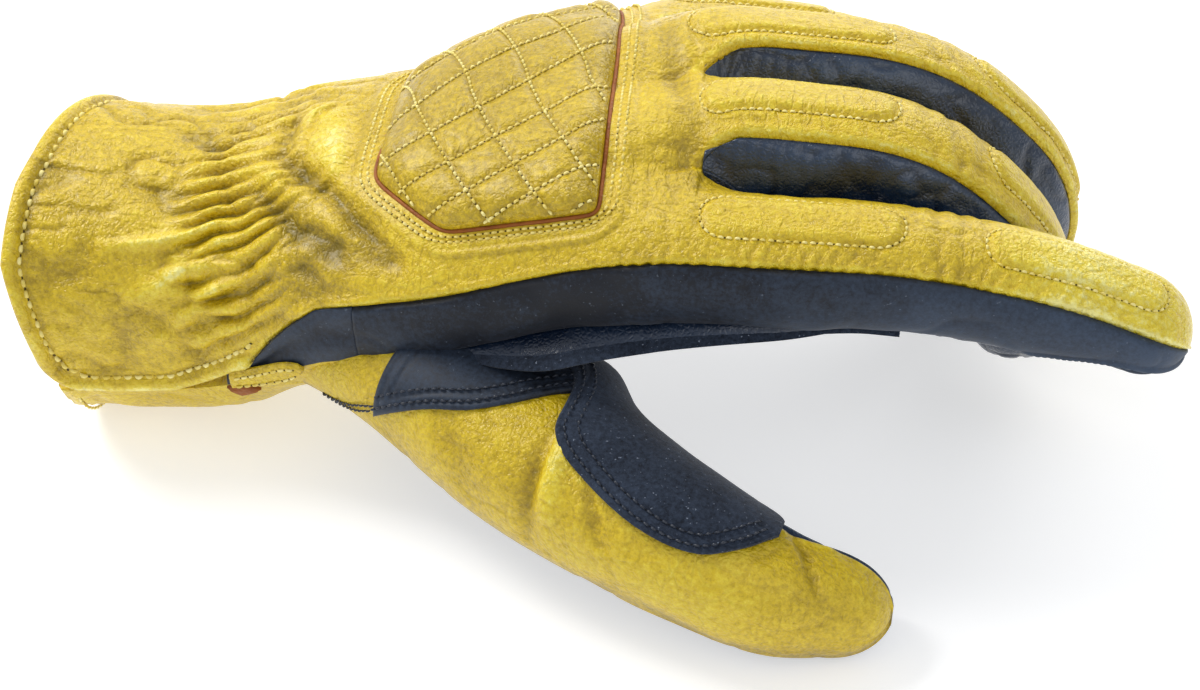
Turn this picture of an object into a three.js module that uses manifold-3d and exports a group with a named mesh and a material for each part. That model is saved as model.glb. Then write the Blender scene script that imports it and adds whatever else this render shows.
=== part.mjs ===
import * as THREE from 'three';
import { mergeVertices } from 'three/addons/utils/BufferGeometryUtils.js';
import Module from 'manifold-3d';

const wasm = await Module();
wasm.setup();

// A left riding glove lying palm down on a table. +X runs to the fingertips,
// -Y is the thumb side, +Z is the back of the hand and z = 0 is the table.

// Sizes of the hand in millimetres. The x = 0 line of the tables is 28 mm behind the finger roots.
const bodyLength = 140;       // cuff hem to finger roots
const handWidth = 92;         // across the knuckles
const handDepth = 44;         // back to palm
const knuckleHeight = 58;     // axis of the hand over the table at the knuckles
const fingerWidth = 24;
const fingerDepth = 23;
const indexLength = 97;
const middleLength = 98;
const ringLength = 114;
const littleLength = 96;
const crotchDepth = 24;       // end of the slit on the back to the web between two fingers
const thumbLength = 140;      // wrist to thumb tip along x
const thumbWidth = 36;        // at the ball of the thumb

// Sizes of the pieces
const leather = 1.2;
const suede = 1.0;
const seamGap = 0.3;
const hemDepth = 4;           // turned-in edge of the cuff
const hemLayer = 1.0;         // extra leather in that edge
const padHeight = 4.8;
const padEdge = 1.6;
const overlayClear = 0.5;     // under a piece that is sewn on top of another
const padShoulder = 7;
const pipingRadius = 0.9;
const gatherHeight = 1.5;
const gatherCount = 9;
const tabLength = 7;
const strapLength = 13;
const tabThickness = 1.3;

// Where the glove's own origin lies from the middle of the flat under the cuff
const restX = -98;
const restY = -11;

const clamp = THREE.MathUtils.clamp;
const lerp = THREE.MathUtils.lerp;
const rad = THREE.MathUtils.degToRad;
const V = (x, y, z) => new THREE.Vector3(x, y, z);

// Sections of the hand: x on bodyLength, axis y on handWidth, axis z on knuckleHeight,
// half width on handWidth, rise and drop on handDepth, roll in degrees
const handColumns = ['x', 'y', 'z', 'half', 'rise', 'drop', 'roll'];
const handRows = [
  [-0.886, -0.098, 0.534, 0.326, 0.636, 0.727, 4],
  [-0.714, -0.098, 0.517, 0.337, 0.636, 0.705, 4],
  [-0.514, -0.098, 0.545, 0.337, 0.591, 0.715, 2],
  [-0.343, -0.109, 0.690, 0.391, 0.545, 0.568, -2],
  [-0.157, -0.120, 0.795, 0.428, 0.500, 0.485, -5],
  [0.057, -0.109, 0.905, 0.462, 0.465, 0.420, -9],
  [0.286, -0.109, 0.980, 0.487, 0.450, 0.409, -7],
  [0.500, -0.109, 0.966, 0.511, 0.455, 0.432, 0],
];

// Seam angles round the hand in degrees, by x on bodyLength: 0 is the thumb side, 90 the top
const seamColumns = ['x', 'radialTop', 'ulnarTop', 'radialPalm'];
const seamRows = [
  [-0.886, -15, 172, -16],
  [-0.571, -15, 172, -16],
  [-0.443, -6, 172, -16],
  [-0.329, 12, 170, -14],
  [-0.143, 12, 170, -19],
  [0.143, 13, 168, -28],
  [0.321, 21, 168, -28],
];

// Lines between the fingers, from the thumb side to the far side
const topAngles = [24, 66, 93, 119, 168];
const palmAngles = [-28, -62, -90, -118, -156];
const slitShares = [0.207, 0.207, 0.186, 0.107, 0.057];        // slit ends, x on bodyLength
const hemShares = [-0.757, -0.803, -0.795, -0.764, -0.700];    // cuff hem, x on bodyLength

// Fingers: root x on bodyLength, y on handWidth, z on knuckleHeight, half widths on fingerWidth and
// half depths on fingerDepth at root, middle and tip, then yaw, pitch, two bends and roll, and the
// seam angles on the thumb side, the far side and the palm, in degrees
const fingerColumns = ['x', 'y', 'z', 'w0', 'w1', 'w2', 'h0', 'h1', 'h2',
  'yaw', 'pitch', 'bend1', 'bend2', 'roll', 'near', 'far', 'low'];
const fingerRows = [
  [0.200, -0.446, 1.060, 0.515, 0.480, 0.438, 0.510, 0.465, 0.425, 2, 3, 12, 12, 8, 42, 17, -38],
  [0.200, -0.163, 1.190, 0.520, 0.490, 0.417, 0.522, 0.500, 0.435, 1, 6, 43, 46, -2, 44, 12, -38],
  [0.157, 0.108, 1.172, 0.475, 0.455, 0.396, 0.500, 0.478, 0.413, 2, 6, 42, 60, -14, 47, 24, -38],
  [0.086, 0.354, 0.950, 0.440, 0.417, 0.375, 0.478, 0.435, 0.391, 4, 8, 37, 56, -30, 44, 20, -38],
];
const fingerLengths = [indexLength, middleLength, ringLength, littleLength];

// Thumb: x on thumbLength, y on handWidth, z on knuckleHeight, half sizes on thumbWidth
const thumbColumns = ['x', 'y', 'z', 'w', 'h'];
const thumbRows = [
  [-0.471, -0.300, 0.480, 0.180, 0.180],
  [-0.329, -0.370, 0.500, 0.275, 0.245],
  [-0.171, -0.488, 0.515, 0.430, 0.361],
  [-0.029, -0.620, 0.435, 0.472, 0.417],
  [0.100, -0.747, 0.378, 0.415, 0.390],
  [0.221, -0.838, 0.303, 0.365, 0.355],
  [0.329, -0.884, 0.222, 0.322, 0.316],
  [0.414, -0.876, 0.158, 0.264, 0.262],
  [0.486, -0.884, 0.142, 0.232, 0.236],
];
const thumbSeamTop = 125;
const thumbSeamLow = -50;

// Suede saddle on the thumb, by share of the thumb's spine: its two edges in degrees
const saddleColumns = ['s', 'low', 'high'];
const saddleRows = [
  [0.430, 130, 172],
  [0.493, 112, 172],
  [0.530, 79, 172],
  [0.597, 62, 172],
  [0.685, 51, 172],
  [0.752, 55, 165],
  [0.792, 75, 150],
  [0.826, 100, 125],
];

// Seam between the black heel panel and the thumb, by share of the thumb's spine, in degrees
const heelColumns = ['s', 'edge'];
const heelRows = [
  [0.282, 4],
  [0.303, 14],
  [0.360, 40],
  [0.418, 62],
  [0.500, 108],
  [0.520, 128],
];

// Knuckle pad, by x on bodyLength: its two edges in degrees round the hand
const padColumns = ['x', 'low', 'high'];
const padRows = [
  [-0.271, 74, 108],
  [-0.150, 37, 142],
  [0.093, 43, 138],
];

// Deep folds of the back: two ends (x on bodyLength, degrees), depth on gatherHeight, width in degrees
const foldColumns = ['x0', 'a0', 'x1', 'a1', 'depth', 'width'];
const foldRows = [
  [-0.36, 62, -0.27, 44, 1.2, 5],
  [-0.33, 40, -0.20, 26, 1.0, 5],
  [-0.38, 84, -0.29, 72, 1.0, 5],
  [-0.34, 118, -0.26, 126, 0.9, 6],
  [0.13, 50, 0.17, 120, 0.7, 4],
];

/** The row of a table at one value of its first column, as an object with the column names. */
function at(columns, rows, key, smoothly = false) {
  let k = 0;
  while (k < rows.length - 2 && key > rows[k + 1][0]) k += 1;
  const t = (key - rows[k][0]) / (rows[k + 1][0] - rows[k][0]);
  const out = {};
  columns.forEach((name, c) => {
    out[name] = smoothly ? hermite(rows, c, k, t) : lerp(rows[k][c], rows[k + 1][c], clamp(t, 0, 1));
  });
  return out;
}

/** Cubic through column c between rows k and k + 1, its slopes taken from the neighbouring rows. */
function hermite(rows, c, k, t) {
  const slope = (j) => {
    const a = Math.max(j - 1, 0);
    const b = Math.min(j + 1, rows.length - 1);
    return (rows[b][c] - rows[a][c]) / (rows[b][0] - rows[a][0]);
  };
  const h = rows[k + 1][0] - rows[k][0];
  const s = 1 - t;
  return (1 + 2 * t) * s * s * rows[k][c] + t * s * s * h * slope(k)
    + t * t * (3 - 2 * t) * rows[k + 1][c] + t * t * (t - 1) * h * slope(k + 1);
}

function smooth(t) {
  const c = clamp(t, 0, 1);
  return c * c * (3 - 2 * c);
}

/** Value of a five-entry list at w, where 0 is its first entry and 4 its last. */
function across(list, w) {
  const k = Math.min(Math.floor(w), 3);
  return lerp(list[k], list[k + 1], w - k);
}

/** A point of a rounded box section: width w, height `top` above and `bottom` below its axis. */
function section(angle, w, top, bottom, power = 2.3) {
  const c = Math.cos(angle);
  const s = Math.sin(angle);
  const p = 2 / power;
  return [
    Math.sign(c) * Math.abs(c) ** p * w,
    Math.sign(s) * Math.abs(s) ** p * (s > 0 ? top : bottom),
  ];
}

/** Leather that would dip below the table lies flat on it. */
function rest(p, inset) {
  p.z = Math.max(p.z, inset);
  return p;
}

/** Skin of the hand at x and an angle in degrees, moved in by inset. */
function hand(x, degrees, inset) {
  const row = at(handColumns, handRows, x / bodyLength, true);
  const [b, n] = section(rad(degrees), row.half * handWidth - inset,
    row.rise * handDepth - inset, row.drop * handDepth - inset);
  const roll = rad(row.roll);
  return rest(V(x, row.y * handWidth - b * Math.cos(roll) - n * Math.sin(roll),
    row.z * knuckleHeight + n * Math.cos(roll) - b * Math.sin(roll)), inset);
}

/** The four fingers with their spines: running length, angle, forward and downward travel. */
const fingers = fingerRows.map((row, i) => {
  const f = at(fingerColumns, [row, row], row[0]);
  fingerColumns.forEach((name, c) => { f[name] = row[c]; });
  f.length = fingerLengths[i];
  f.spine = [{ a: rad(f.pitch), x: 0, z: 0 }];
  const steps = 200;
  for (let j = 1; j <= steps; j += 1) {
    const s = j / steps;
    const a = rad(f.pitch + f.bend1 * smooth((s - 0.25) / 0.35) + f.bend2 * smooth((s - 0.58) / 0.3));
    const last = f.spine[j - 1];
    const step = f.length / steps;
    f.spine.push({
      a,
      x: last.x + step * (Math.cos(a) + Math.cos(last.a)) / 2,
      z: last.z - step * (Math.sin(a) + Math.sin(last.a)) / 2,
    });
  }
  return f;
});

/** Skin of finger i at length l from its root and an angle in degrees, moved in by inset. */
function finger(i, l, degrees, inset) {
  const f = fingers[i];
  const steps = f.spine.length - 1;
  const j = clamp(l / f.length, 0, 1) * steps;
  const k = Math.min(Math.floor(j), steps - 1);
  const a = lerp(f.spine[k].a, f.spine[k + 1].a, j - k);
  const behind = Math.min(l, 0);
  const forward = lerp(f.spine[k].x, f.spine[k + 1].x, j - k) + behind * Math.cos(a);
  const up = lerp(f.spine[k].z, f.spine[k + 1].z, j - k) - behind * Math.sin(a);
  const yaw = rad(f.yaw);
  const roll = rad(f.roll);
  const tangent = V(Math.cos(a) * Math.cos(yaw), Math.cos(a) * Math.sin(yaw), -Math.sin(a));
  const side = V(Math.sin(yaw), -Math.cos(yaw), 0);
  const normal = side.clone().cross(tangent);
  const b = side.clone().multiplyScalar(Math.cos(roll)).addScaledVector(normal, -Math.sin(roll));
  const n = normal.multiplyScalar(Math.cos(roll)).addScaledVector(side, Math.sin(roll));
  const t = clamp(l / f.length, 0, 1) * 2;
  const w = (t < 1 ? lerp(f.w0, f.w1, t) : lerp(f.w1, f.w2, t - 1)) * fingerWidth - inset;
  const h = (t < 1 ? lerp(f.h0, f.h1, t) : lerp(f.h1, f.h2, t - 1)) * fingerDepth - inset;
  const tip = f.w2 * fingerWidth * 1.15;
  const q = clamp((l - f.length + tip) / (tip - inset), 0, 1);
  const cap = Math.sqrt(1 - q ** 2.3);
  const [u, v] = section(rad(degrees), w * cap, h * cap, h * cap);
  const root = V(f.x * bodyLength, f.y * handWidth, f.z * knuckleHeight);
  root.add(V(forward * Math.cos(yaw), forward * Math.sin(yaw), up));
  return rest(root.addScaledVector(b, u).addScaledVector(n, v), inset);
}

const slitX = (w) => across(slitShares, w) * bodyLength;
const hemX = (w) => across(hemShares, w) * bodyLength;
const slitOn = (i, u) => (slitX(i + u) - fingers[i].x * bodyLength)
  / Math.cos(rad(fingers[i].yaw)) / Math.cos(rad(fingers[i].pitch));
const onFinger = (i, u, degrees, past, inset) => finger(i, slitOn(i, u) + past, degrees, inset);

/** Top seam angle of across-coordinate w at x: 0 is the thumb side's seam, 4 the far one. */
function topAngle(w, x) {
  const seam = at(seamColumns, seamRows, x / bodyLength);
  const share = (across(topAngles, w) - topAngles[0]) / (topAngles[4] - topAngles[0]);
  return lerp(seam.radialTop, seam.ulnarTop, share);
}

/** Palm angle of across-coordinate w at x. */
function palmAngle(w, x) {
  const seam = at(seamColumns, seamRows, x / bodyLength);
  const share = (across(palmAngles, w) - palmAngles[0]) / (palmAngles[4] - palmAngles[0]);
  return lerp(seam.radialPalm, palmAngles[4], share);
}

const topOn = (i, u) => lerp(fingers[i].near, 180 - fingers[i].far, u);
const lowOn = (i, u) => lerp(fingers[i].low, -180 - fingers[i].low, u);

/** Draws the edge of a finger strip to the middle of the gap where two strips meet. */
function drawTogether(p, i, u, share, edge) {
  const pull = (j, from, to, amount) => {
    const gap = edge(j, to).sub(edge(i, from)).multiplyScalar(0.5 * share * amount * amount);
    p.add(gap);
  };
  if (i < 3) pull(i + 1, 1, 0, clamp(2 * u - 1, 0, 1));
  if (i > 0) pull(i - 1, 0, 1, clamp(1 - 2 * u, 0, 1));
  return p;
}

const closing = (past) => 1 - Math.sqrt(clamp(past / 6, 0, 1));

/** Ridges of the gathered wrist and the deep folds beside the pad, in millimetres outwards. */
function relief(w, x) {
  const s = x / bodyLength;
  const gathered = smooth((s + 0.60) / 0.10) * smooth((-0.29 - s) / 0.08);
  const edge = smooth(w / 0.25) * smooth((4 - w) / 0.25);
  let out = gatherHeight * gathered * edge * Math.cos(2 * Math.PI * w / 4 * gatherCount);
  const degrees = topAngle(w, x);
  foldRows.forEach((row) => {
    const f = Object.fromEntries(foldColumns.map((name, c) => [name, row[c]]));
    const run = clamp((s - f.x0) / (f.x1 - f.x0), 0, 1);
    const away = Math.hypot((degrees - lerp(f.a0, f.a1, run)) / f.width,
      (s - lerp(f.x0, f.x1, run)) / 0.03);
    const ends = f.x1 - f.x0 > 0.06 ? Math.sin(Math.PI * clamp(run, 0.15, 0.85)) : 1;
    out -= gatherHeight * f.depth * ends * Math.exp(-away * away) * edge;
  });
  return out;
}

/** Back of the glove on finger strip i, u across it and `past` beyond the slit line. */
function back(i, u, past, inset) {
  const p = onFinger(i, u, topOn(i, u), past, inset);
  drawTogether(p, i, u, closing(past), (j, v) => onFinger(j, v, topOn(j, v), past, inset));
  const w = i + u;
  const x = slitX(w) + past;
  const share = smooth((past + 30) / 44);
  if (share === 1) return p;
  return hand(x, topAngle(w, x), inset - relief(w, x)).lerp(p, share);
}

/** Palm of the glove on finger strip i. */
function palm(i, u, past, inset) {
  const below = past - crotchDepth;
  const p = onFinger(i, u, lowOn(i, u), past, inset);
  drawTogether(p, i, u, closing(below), (j, v) => onFinger(j, v, lowOn(j, v), past, inset));
  const w = i + u;
  const x = slitX(w) + past;
  const share = smooth((below + 26) / 36);
  if (share === 1) return p;
  return hand(x, palmAngle(w, x), inset).lerp(p, share);
}

/** Side band of the index finger (end 0) or the little finger (end 1), q from top to palm seam. */
function side(end, q, past, inset) {
  const i = end * 3;
  const f = fingers[i];
  const top = end ? 180 - f.far : f.near;
  const low = end ? 180 - f.low : f.low;
  const p = onFinger(i, end, lerp(top, low, q), past, inset);
  const x = slitX(4 * end) + past;
  const seam = topAngle(4 * end, x);
  const palmSeam = palmAngle(4 * end, x) + 360 * end;
  const share = lerp(smooth((past + 30) / 44), smooth((past - crotchDepth + 26) / 36), q);
  return hand(x, lerp(seam, palmSeam, q), inset).lerp(p, share);
}

/** Black side wall between fingers k and k + 1, on the nearer (0) or farther (1) of them. */
function wall(k, far, q, past, inset) {
  const reach = 0.12 + 0.88 * smooth(past / crotchDepth) ** 0.8;
  const on = (who, r, l) => {
    const f = fingers[k + who];
    const degrees = who ? lerp(f.near, f.low, r) : lerp(180 - f.far, 180 - f.low, r);
    return onFinger(k + who, 1 - who, degrees, l, inset);
  };
  const p = on(far, q * reach, past);
  const meet = (r, amount) => on(1 - far, r, past).sub(on(far, r, past)).multiplyScalar(amount / 2);
  p.add(meet(0, closing(past) * (1 - q) ** 2));
  p.add(meet(reach, closing(past - crotchDepth) * q * q));
  const backOff = (who) => {
    const raw = on(who, 0, past);
    raw.add(on(1 - who, 0, past).sub(raw).multiplyScalar(closing(past) / 2));
    return back(k + who, 1 - who, past, inset).sub(raw);
  };
  const from = Math.max(past, crotchDepth);
  const rawLow = on(far, 1, from);
  rawLow.add(on(1 - far, 1, from).sub(rawLow).multiplyScalar(closing(from - crotchDepth) / 2));
  const tuck = seamGap * (1 - smooth((past - crotchDepth) / 8));
  const lowOff = palm(k + far, 1 - far, from, inset + 1.4 * tuck).sub(rawLow);
  const near = smooth(past / crotchDepth);
  const foldOff = backOff(0).add(backOff(1)).multiplyScalar(0.5 * (1 - near)).addScaledVector(lowOff, near);
  return p.addScaledVector(backOff(far), (1 - q) ** 2).addScaledVector(foldOff, q * q);
}

/** Thumb spine as points with half sizes and running length. */
const thumbSpine = [];
const thumbSteps = 200;
for (let j = 0; j <= thumbSteps; j += 1) {
  const s = lerp(thumbRows[0][0], thumbRows[thumbRows.length - 1][0], j / thumbSteps);
  const row = at(thumbColumns, thumbRows, s, true);
  const point = V(row.x * thumbLength, row.y * handWidth, row.z * knuckleHeight);
  const last = thumbSpine[j - 1];
  thumbSpine.push({
    point,
    w: row.w * thumbWidth,
    h: row.h * thumbWidth,
    l: last ? last.l + point.distanceTo(last.point) : 0,
  });
}
const thumbRun = thumbSpine[thumbSteps].l;

/** Skin of the thumb at length l along its spine: 0 degrees faces out, 90 up, 180 the index finger. */
function thumb(l, degrees, inset) {
  let k = 0;
  while (k < thumbSteps - 1 && thumbSpine[k + 1].l < l) k += 1;
  const a = thumbSpine[k];
  const b = thumbSpine[k + 1];
  const t = (l - a.l) / (b.l - a.l);
  const before = thumbSpine[Math.max(k - 8, 0)].point;
  const after = thumbSpine[Math.min(k + 9, thumbSteps)].point;
  const tangent = after.clone().sub(before).normalize();
  const out = tangent.clone().cross(V(0, 0, 1)).normalize();
  const up = out.clone().cross(tangent);
  const tip = 12;
  const q = clamp((l - thumbRun + tip) / (tip - inset), 0, 1);
  const cap = Math.sqrt(1 - q ** 2.3);
  const w = (lerp(a.w, b.w, t) - inset) * cap;
  const h = (lerp(a.h, b.h, t) - inset) * cap;
  const [u, v] = section(rad(degrees), w, h, h, 2.2);
  return rest(a.point.clone().lerp(b.point, t).addScaledVector(out, u).addScaledVector(up, v), inset);
}

/** Steps from a to b in n parts. */
const steps = (a, b, n) => Array.from({ length: n + 1 }, (_, j) => lerp(a, b, j / n));

/** Distance past the slit line for share r of a finger: even to the web, then closer near the tip. */
function pastAt(r, span) {
  if (r <= 0.4) return crotchDepth * r / 0.4;
  const tip = 1 - (1 - (r - 0.4) / 0.6) ** 1.8;
  return lerp(crotchDepth, span - 0.05, tip);
}

/** Length from the slit line to the fingertip on strip i. */
const spanOf = (i, u) => fingers[i].length - slitOn(i, u);

/** Half a seam gap as a share of a strip that is `width` across. */
const gapShare = (width) => seamGap / 2 / width;

/**
 * Closed skin from patches of (row, column) points: each patch gives point(a, b, inset) over its
 * rows and columns. Patches that share edge points are joined, and open edges get a wall.
 */
function shell(patches, outside, inside) {
  const outer = [];
  const inner = [];
  const keys = new Map();
  const faces = [];
  patches.forEach(({ point, rows, columns, flip, thickness }) => {
    const ids = rows.map((a) => columns.map((b) => {
      const p = point(a, b, outside);
      const key = [p.x, p.y, p.z].map((c) => Math.round(c * 200)).join();
      if (!keys.has(key)) {
        keys.set(key, outer.length);
        outer.push(p);
        inner.push(point(a, b, thickness ? thickness(a, b) : inside));
      }
      return keys.get(key);
    }));
    for (let r = 0; r < rows.length - 1; r += 1) {
      for (let c = 0; c < columns.length - 1; c += 1) {
        const quad = [ids[r][c], ids[r + 1][c], ids[r + 1][c + 1], ids[r][c + 1]];
        if (flip) quad.reverse();
        faces.push([quad[0], quad[1], quad[2]], [quad[0], quad[2], quad[3]]);
      }
    }
  });
  const whole = faces.filter(([a, b, c]) => a !== b && b !== c && a !== c);
  const open = new Map();
  whole.forEach((face) => face.forEach((a, j) => {
    const b = face[(j + 1) % 3];
    if (!open.delete(`${b},${a}`)) open.set(`${a},${b}`, [a, b]);
  }));
  const n = outer.length;
  const index = [];
  whole.forEach(([a, b, c]) => index.push(a, b, c, n + a, n + c, n + b));
  open.forEach(([a, b]) => index.push(b, a, n + a, b, n + a, n + b));
  return indexed(outer.concat(inner), index);
}

/** Indexed geometry with its faces turned outwards. */
function indexed(points, index) {
  let volume = 0;
  for (let j = 0; j < index.length; j += 3) {
    const [a, b, c] = [0, 1, 2].map((k) => points[index[j + k]]);
    volume += a.dot(b.clone().cross(c));
  }
  if (volume < 0) index.reverse();
  const geometry = new THREE.BufferGeometry();
  geometry.setAttribute('position', new THREE.Float32BufferAttribute(points.flatMap((p) => p.toArray()), 3));
  geometry.setIndex(index);
  return geometry;
}

/** Closed solid through rings of points, its two ends closed by fans. */
function loft(rings) {
  const points = rings.flat();
  const m = rings[0].length;
  const index = [];
  for (let r = 0; r < rings.length - 1; r += 1) {
    for (let c = 0; c < m; c += 1) {
      const a = r * m + c;
      const b = r * m + (c + 1) % m;
      index.push(a, a + m, b + m, a, b + m, b);
    }
  }
  [0, rings.length - 1].forEach((r) => {
    const centre = rings[r].reduce((sum, p) => sum.add(p), V(0, 0, 0)).divideScalar(m);
    points.push(centre);
    for (let c = 0; c < m; c += 1) {
      const pair = [r * m + c, r * m + (c + 1) % m];
      if (r > 0) pair.reverse();
      index.push(...pair, points.length - 1);
    }
  });
  return indexed(points, index);
}

/** Solid for a boolean, from a geometry. */
function solid(geometry) {
  const bare = geometry.clone();
  bare.deleteAttribute('normal');
  bare.deleteAttribute('uv');
  const merged = mergeVertices(bare, 1e-4);
  return new wasm.Manifold(new wasm.Mesh({
    numProp: 3,
    vertProperties: new Float32Array(merged.attributes.position.array),
    triVerts: new Uint32Array(merged.index.array),
  }));
}

/** Geometry of a solid after a boolean. */
function geometryOf(body) {
  const mesh = body.getMesh();
  const geometry = new THREE.BufferGeometry();
  geometry.setAttribute('position', new THREE.BufferAttribute(new Float32Array(mesh.vertProperties), 3));
  geometry.setIndex(new THREE.BufferAttribute(new Uint32Array(mesh.triVerts), 1));
  return geometry;
}

const glove = new THREE.Group();
const offset = V(-restX, -restY, 0);
const yellow = { color: 0xc9a13a, roughness: 0.55, metalness: 0 };
const black = { color: 0x23262f, roughness: 0.6, metalness: 0 };
const suedeLook = { color: 0x2b2e38, roughness: 0.9, metalness: 0 };
const orange = { color: 0xb2602c, roughness: 0.6, metalness: 0 };

/** Adds one named piece to the glove. */
function add(name, geometry, look) {
  const mesh = new THREE.Mesh(geometry, new THREE.MeshStandardMaterial(look));
  mesh.name = name;
  mesh.position.copy(offset);
  glove.add(mesh);
}

const fingerShares = steps(0, 0.4, 5).concat(steps(0.4, 1, 9).slice(1));
const tailShares = fingerShares.filter((r) => r >= 0.4);

// Back: four strips that are one skin up to the slits, the hem's edge turned in
const backPatches = [];
const edgeShare = gapShare(fingerWidth);
for (let i = 0; i < 4; i += 1) {
  const first = i === 0 ? edgeShare : 0;
  const last = i === 3 ? 1 - edgeShare : 1;
  backPatches.push({
    rows: steps(0, 1, 23),
    columns: steps(0, 1, gatherCount).map((u) => clamp(u, first, last)),
    point: (t, u, inset) => back(i, u, lerp(hemX(i + u) - slitX(i + u), 0, t), inset),
    thickness: (t, u) => leather + hemLayer
      * smooth(2 - t * (slitX(i + u) - hemX(i + u)) / hemDepth),
  });
  backPatches.push({
    rows: fingerShares,
    columns: steps(0, 1, gatherCount),
    point: (r, u, inset) => {
      const past = pastAt(r, spanOf(i, u));
      const edge = edgeShare * smooth(past / 3);
      return back(i, clamp(u, Math.max(edge, first), Math.min(1 - edge, last)), past, inset);
    },
  });
}
const backSkin = shell(backPatches, 0, leather);

const wallStart = [4.5, 4.5, 5.5];
const startGap = 0.12;

// Black walls between the fingers: folded under the web, then one tail on each finger
function fourchette(k) {
  const gap = gapShare(fingerDepth);
  const patch = (far, rows, from) => ({
    rows,
    columns: steps(0, 1, 3),
    flip: far === 1,
    point: (r, q, inset) => {
      const past = Math.max(pastAt(r, spanOf(k + far, 1 - far)), from);
      const low = past > crotchDepth ? 1 - gap * smooth((past - crotchDepth) / 3) : 1;
      const high = lerp(startGap, gap, smooth(past / 14));
      return wall(k, far, clamp(q, high, low), past, inset);
    },
    thickness: (r) => leather * lerp(0.3, 1, smooth(pastAt(r, spanOf(k + far, 1 - far)) / 14)),
  });
  return shell([patch(0, fingerShares, wallStart[k]), patch(1, fingerShares, wallStart[k])], 0, leather);
}

// Palm, side bands and palm cuff
const palmStart = -0.271 * bodyLength;
const palmShares = steps(0, 1, 11);
const palmPast = (t, w) => lerp(palmStart - slitX(w), crotchDepth, t);
const palmPatches = [];
for (let i = 0; i < 4; i += 1) {
  const first = i === 0 ? edgeShare : 0;
  const last = i === 3 ? 1 - edgeShare : 1;
  palmPatches.push({
    rows: palmShares,
    columns: steps(0, 1, 4).map((u) => clamp(u, first, last)),
    point: (t, u, inset) => palm(i, u, palmPast(t, i + u), inset),
  });
  palmPatches.push({
    rows: tailShares,
    columns: steps(0, 1, 4),
    point: (r, u, inset) => {
      const past = pastAt(r, spanOf(i, u));
      const edge = edgeShare * smooth((past - crotchDepth) / 3);
      return palm(i, clamp(u, Math.max(edge, first), Math.min(1 - edge, last)), past, inset);
    },
  });
}
const palmSkin = shell(palmPatches, 0, leather);

function sideBand(end) {
  const gap = gapShare(fingerDepth);
  const shares = steps(-1, 0, 9).slice(0, -1).concat(fingerShares);
  return shell([{
    rows: shares,
    columns: steps(gap, 1 - gap, 4),
    point: (r, q, inset) => {
      const past = r < 0 ? -r * (palmStart - slitX(4 * end)) : pastAt(r, spanOf(3 * end, end));
      return side(end, q, past, inset);
    },
  }], 0, leather);
}

/** A piece of skin on the wrist between two angles, at rows of x. */
function wristPanel(xs, columns, angles, outside, inside) {
  return shell([{
    rows: xs,
    columns,
    point: (x, v, inset) => {
      const [a, b] = angles(x);
      return hand(x, lerp(a, b, v), inset);
    },
  }], outside, inside);
}

const gapDegrees = (half) => THREE.MathUtils.radToDeg(seamGap / 2 / half);
const wristGap = gapDegrees(0.34 * handWidth);
const cuffRows = steps(hemX(0) + 1, palmStart - seamGap, 12);
const palmCuff = wristPanel(cuffRows, steps(0, 1, 20), (x) => {
  const seam = at(seamColumns, seamRows, x / bodyLength);
  return [seam.radialPalm - wristGap, seam.ulnarTop - 360 + wristGap];
}, 0, leather);

const gussetRows = steps(-0.49 * bodyLength, palmStart - seamGap, 7);
const gusset = wristPanel(gussetRows, steps(0, 1, 3), (x) => {
  const seam = at(seamColumns, seamRows, x / bodyLength);
  return [seam.radialTop - wristGap, seam.radialPalm + wristGap];
}, 0, leather);

// Thumb tube, cut free of the hand
const thumbRowsAt = steps(0.05 * thumbRun, thumbRun - 12, 18)
  .concat([0.3, 0.55, 0.75, 0.88, 0.96, 0.996].map((q) => thumbRun - 12 + 12 * q));
function thumbPanel(from, to, n) {
  const gap = gapDegrees(0.4 * thumbWidth);
  return shell([{
    rows: thumbRowsAt,
    columns: steps(from + gap, to - gap, n),
    point: (l, degrees, inset) => thumb(l, degrees, inset),
  }], 0, leather);
}

const saddleEnds = [saddleRows[0][0], saddleRows[saddleRows.length - 1][0]].map((share) => share * thumbRun);
const saddle = shell([{
  rows: [...thumbRowsAt.filter((l) => l > saddleEnds[0] && l < saddleEnds[1]), saddleEnds[1]],
  columns: steps(0, 1, 8),
  point: (l, v, inset) => {
    const row = at(saddleColumns, saddleRows, l / thumbRun);
    return thumb(l, lerp(row.low, row.high, v), inset);
  },
}], -overlayClear - seamGap - suede, -overlayClear - seamGap);

/** Part of the thumb's skin that belongs to the heel panel, grown by a margin all round. */
function heelRegion(margin, outside, inside) {
  const degrees = THREE.MathUtils.radToDeg(margin / (0.4 * thumbWidth));
  const from = heelRows[0][0] * thumbRun;
  const to = heelRows[heelRows.length - 1][0] * thumbRun;
  return shell([{
    rows: [from - margin, ...steps(from, to, 14).slice(1, -1), to + margin],
    columns: steps(0, 1, 8),
    point: (l, v, inset) => {
      const row = at(heelColumns, heelRows, l / thumbRun);
      return thumb(l, lerp(row.edge - degrees, thumbSeamTop + 12 + degrees, v), inset);
    },
  }], outside, inside);
}

// Knuckle pad: a cushion sewn on the back, its edge thin and its top raised
const padStart = padRows[0][0] * bodyLength;
const padEnd = padRows[padRows.length - 1][0] * bodyLength;

/** Point over the back at x and an angle in degrees, `out` above the leather. */
function overBack(x, degrees, out) {
  let low = 0;
  let high = 4;
  for (let j = 0; j < 24; j += 1) {
    const w = (low + high) / 2;
    if (topAngle(w, x) < degrees) low = w;
    else high = w;
  }
  const i = Math.min(Math.floor(low), 3);
  return back(i, low - i, x - slitX(low), -out);
}

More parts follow.
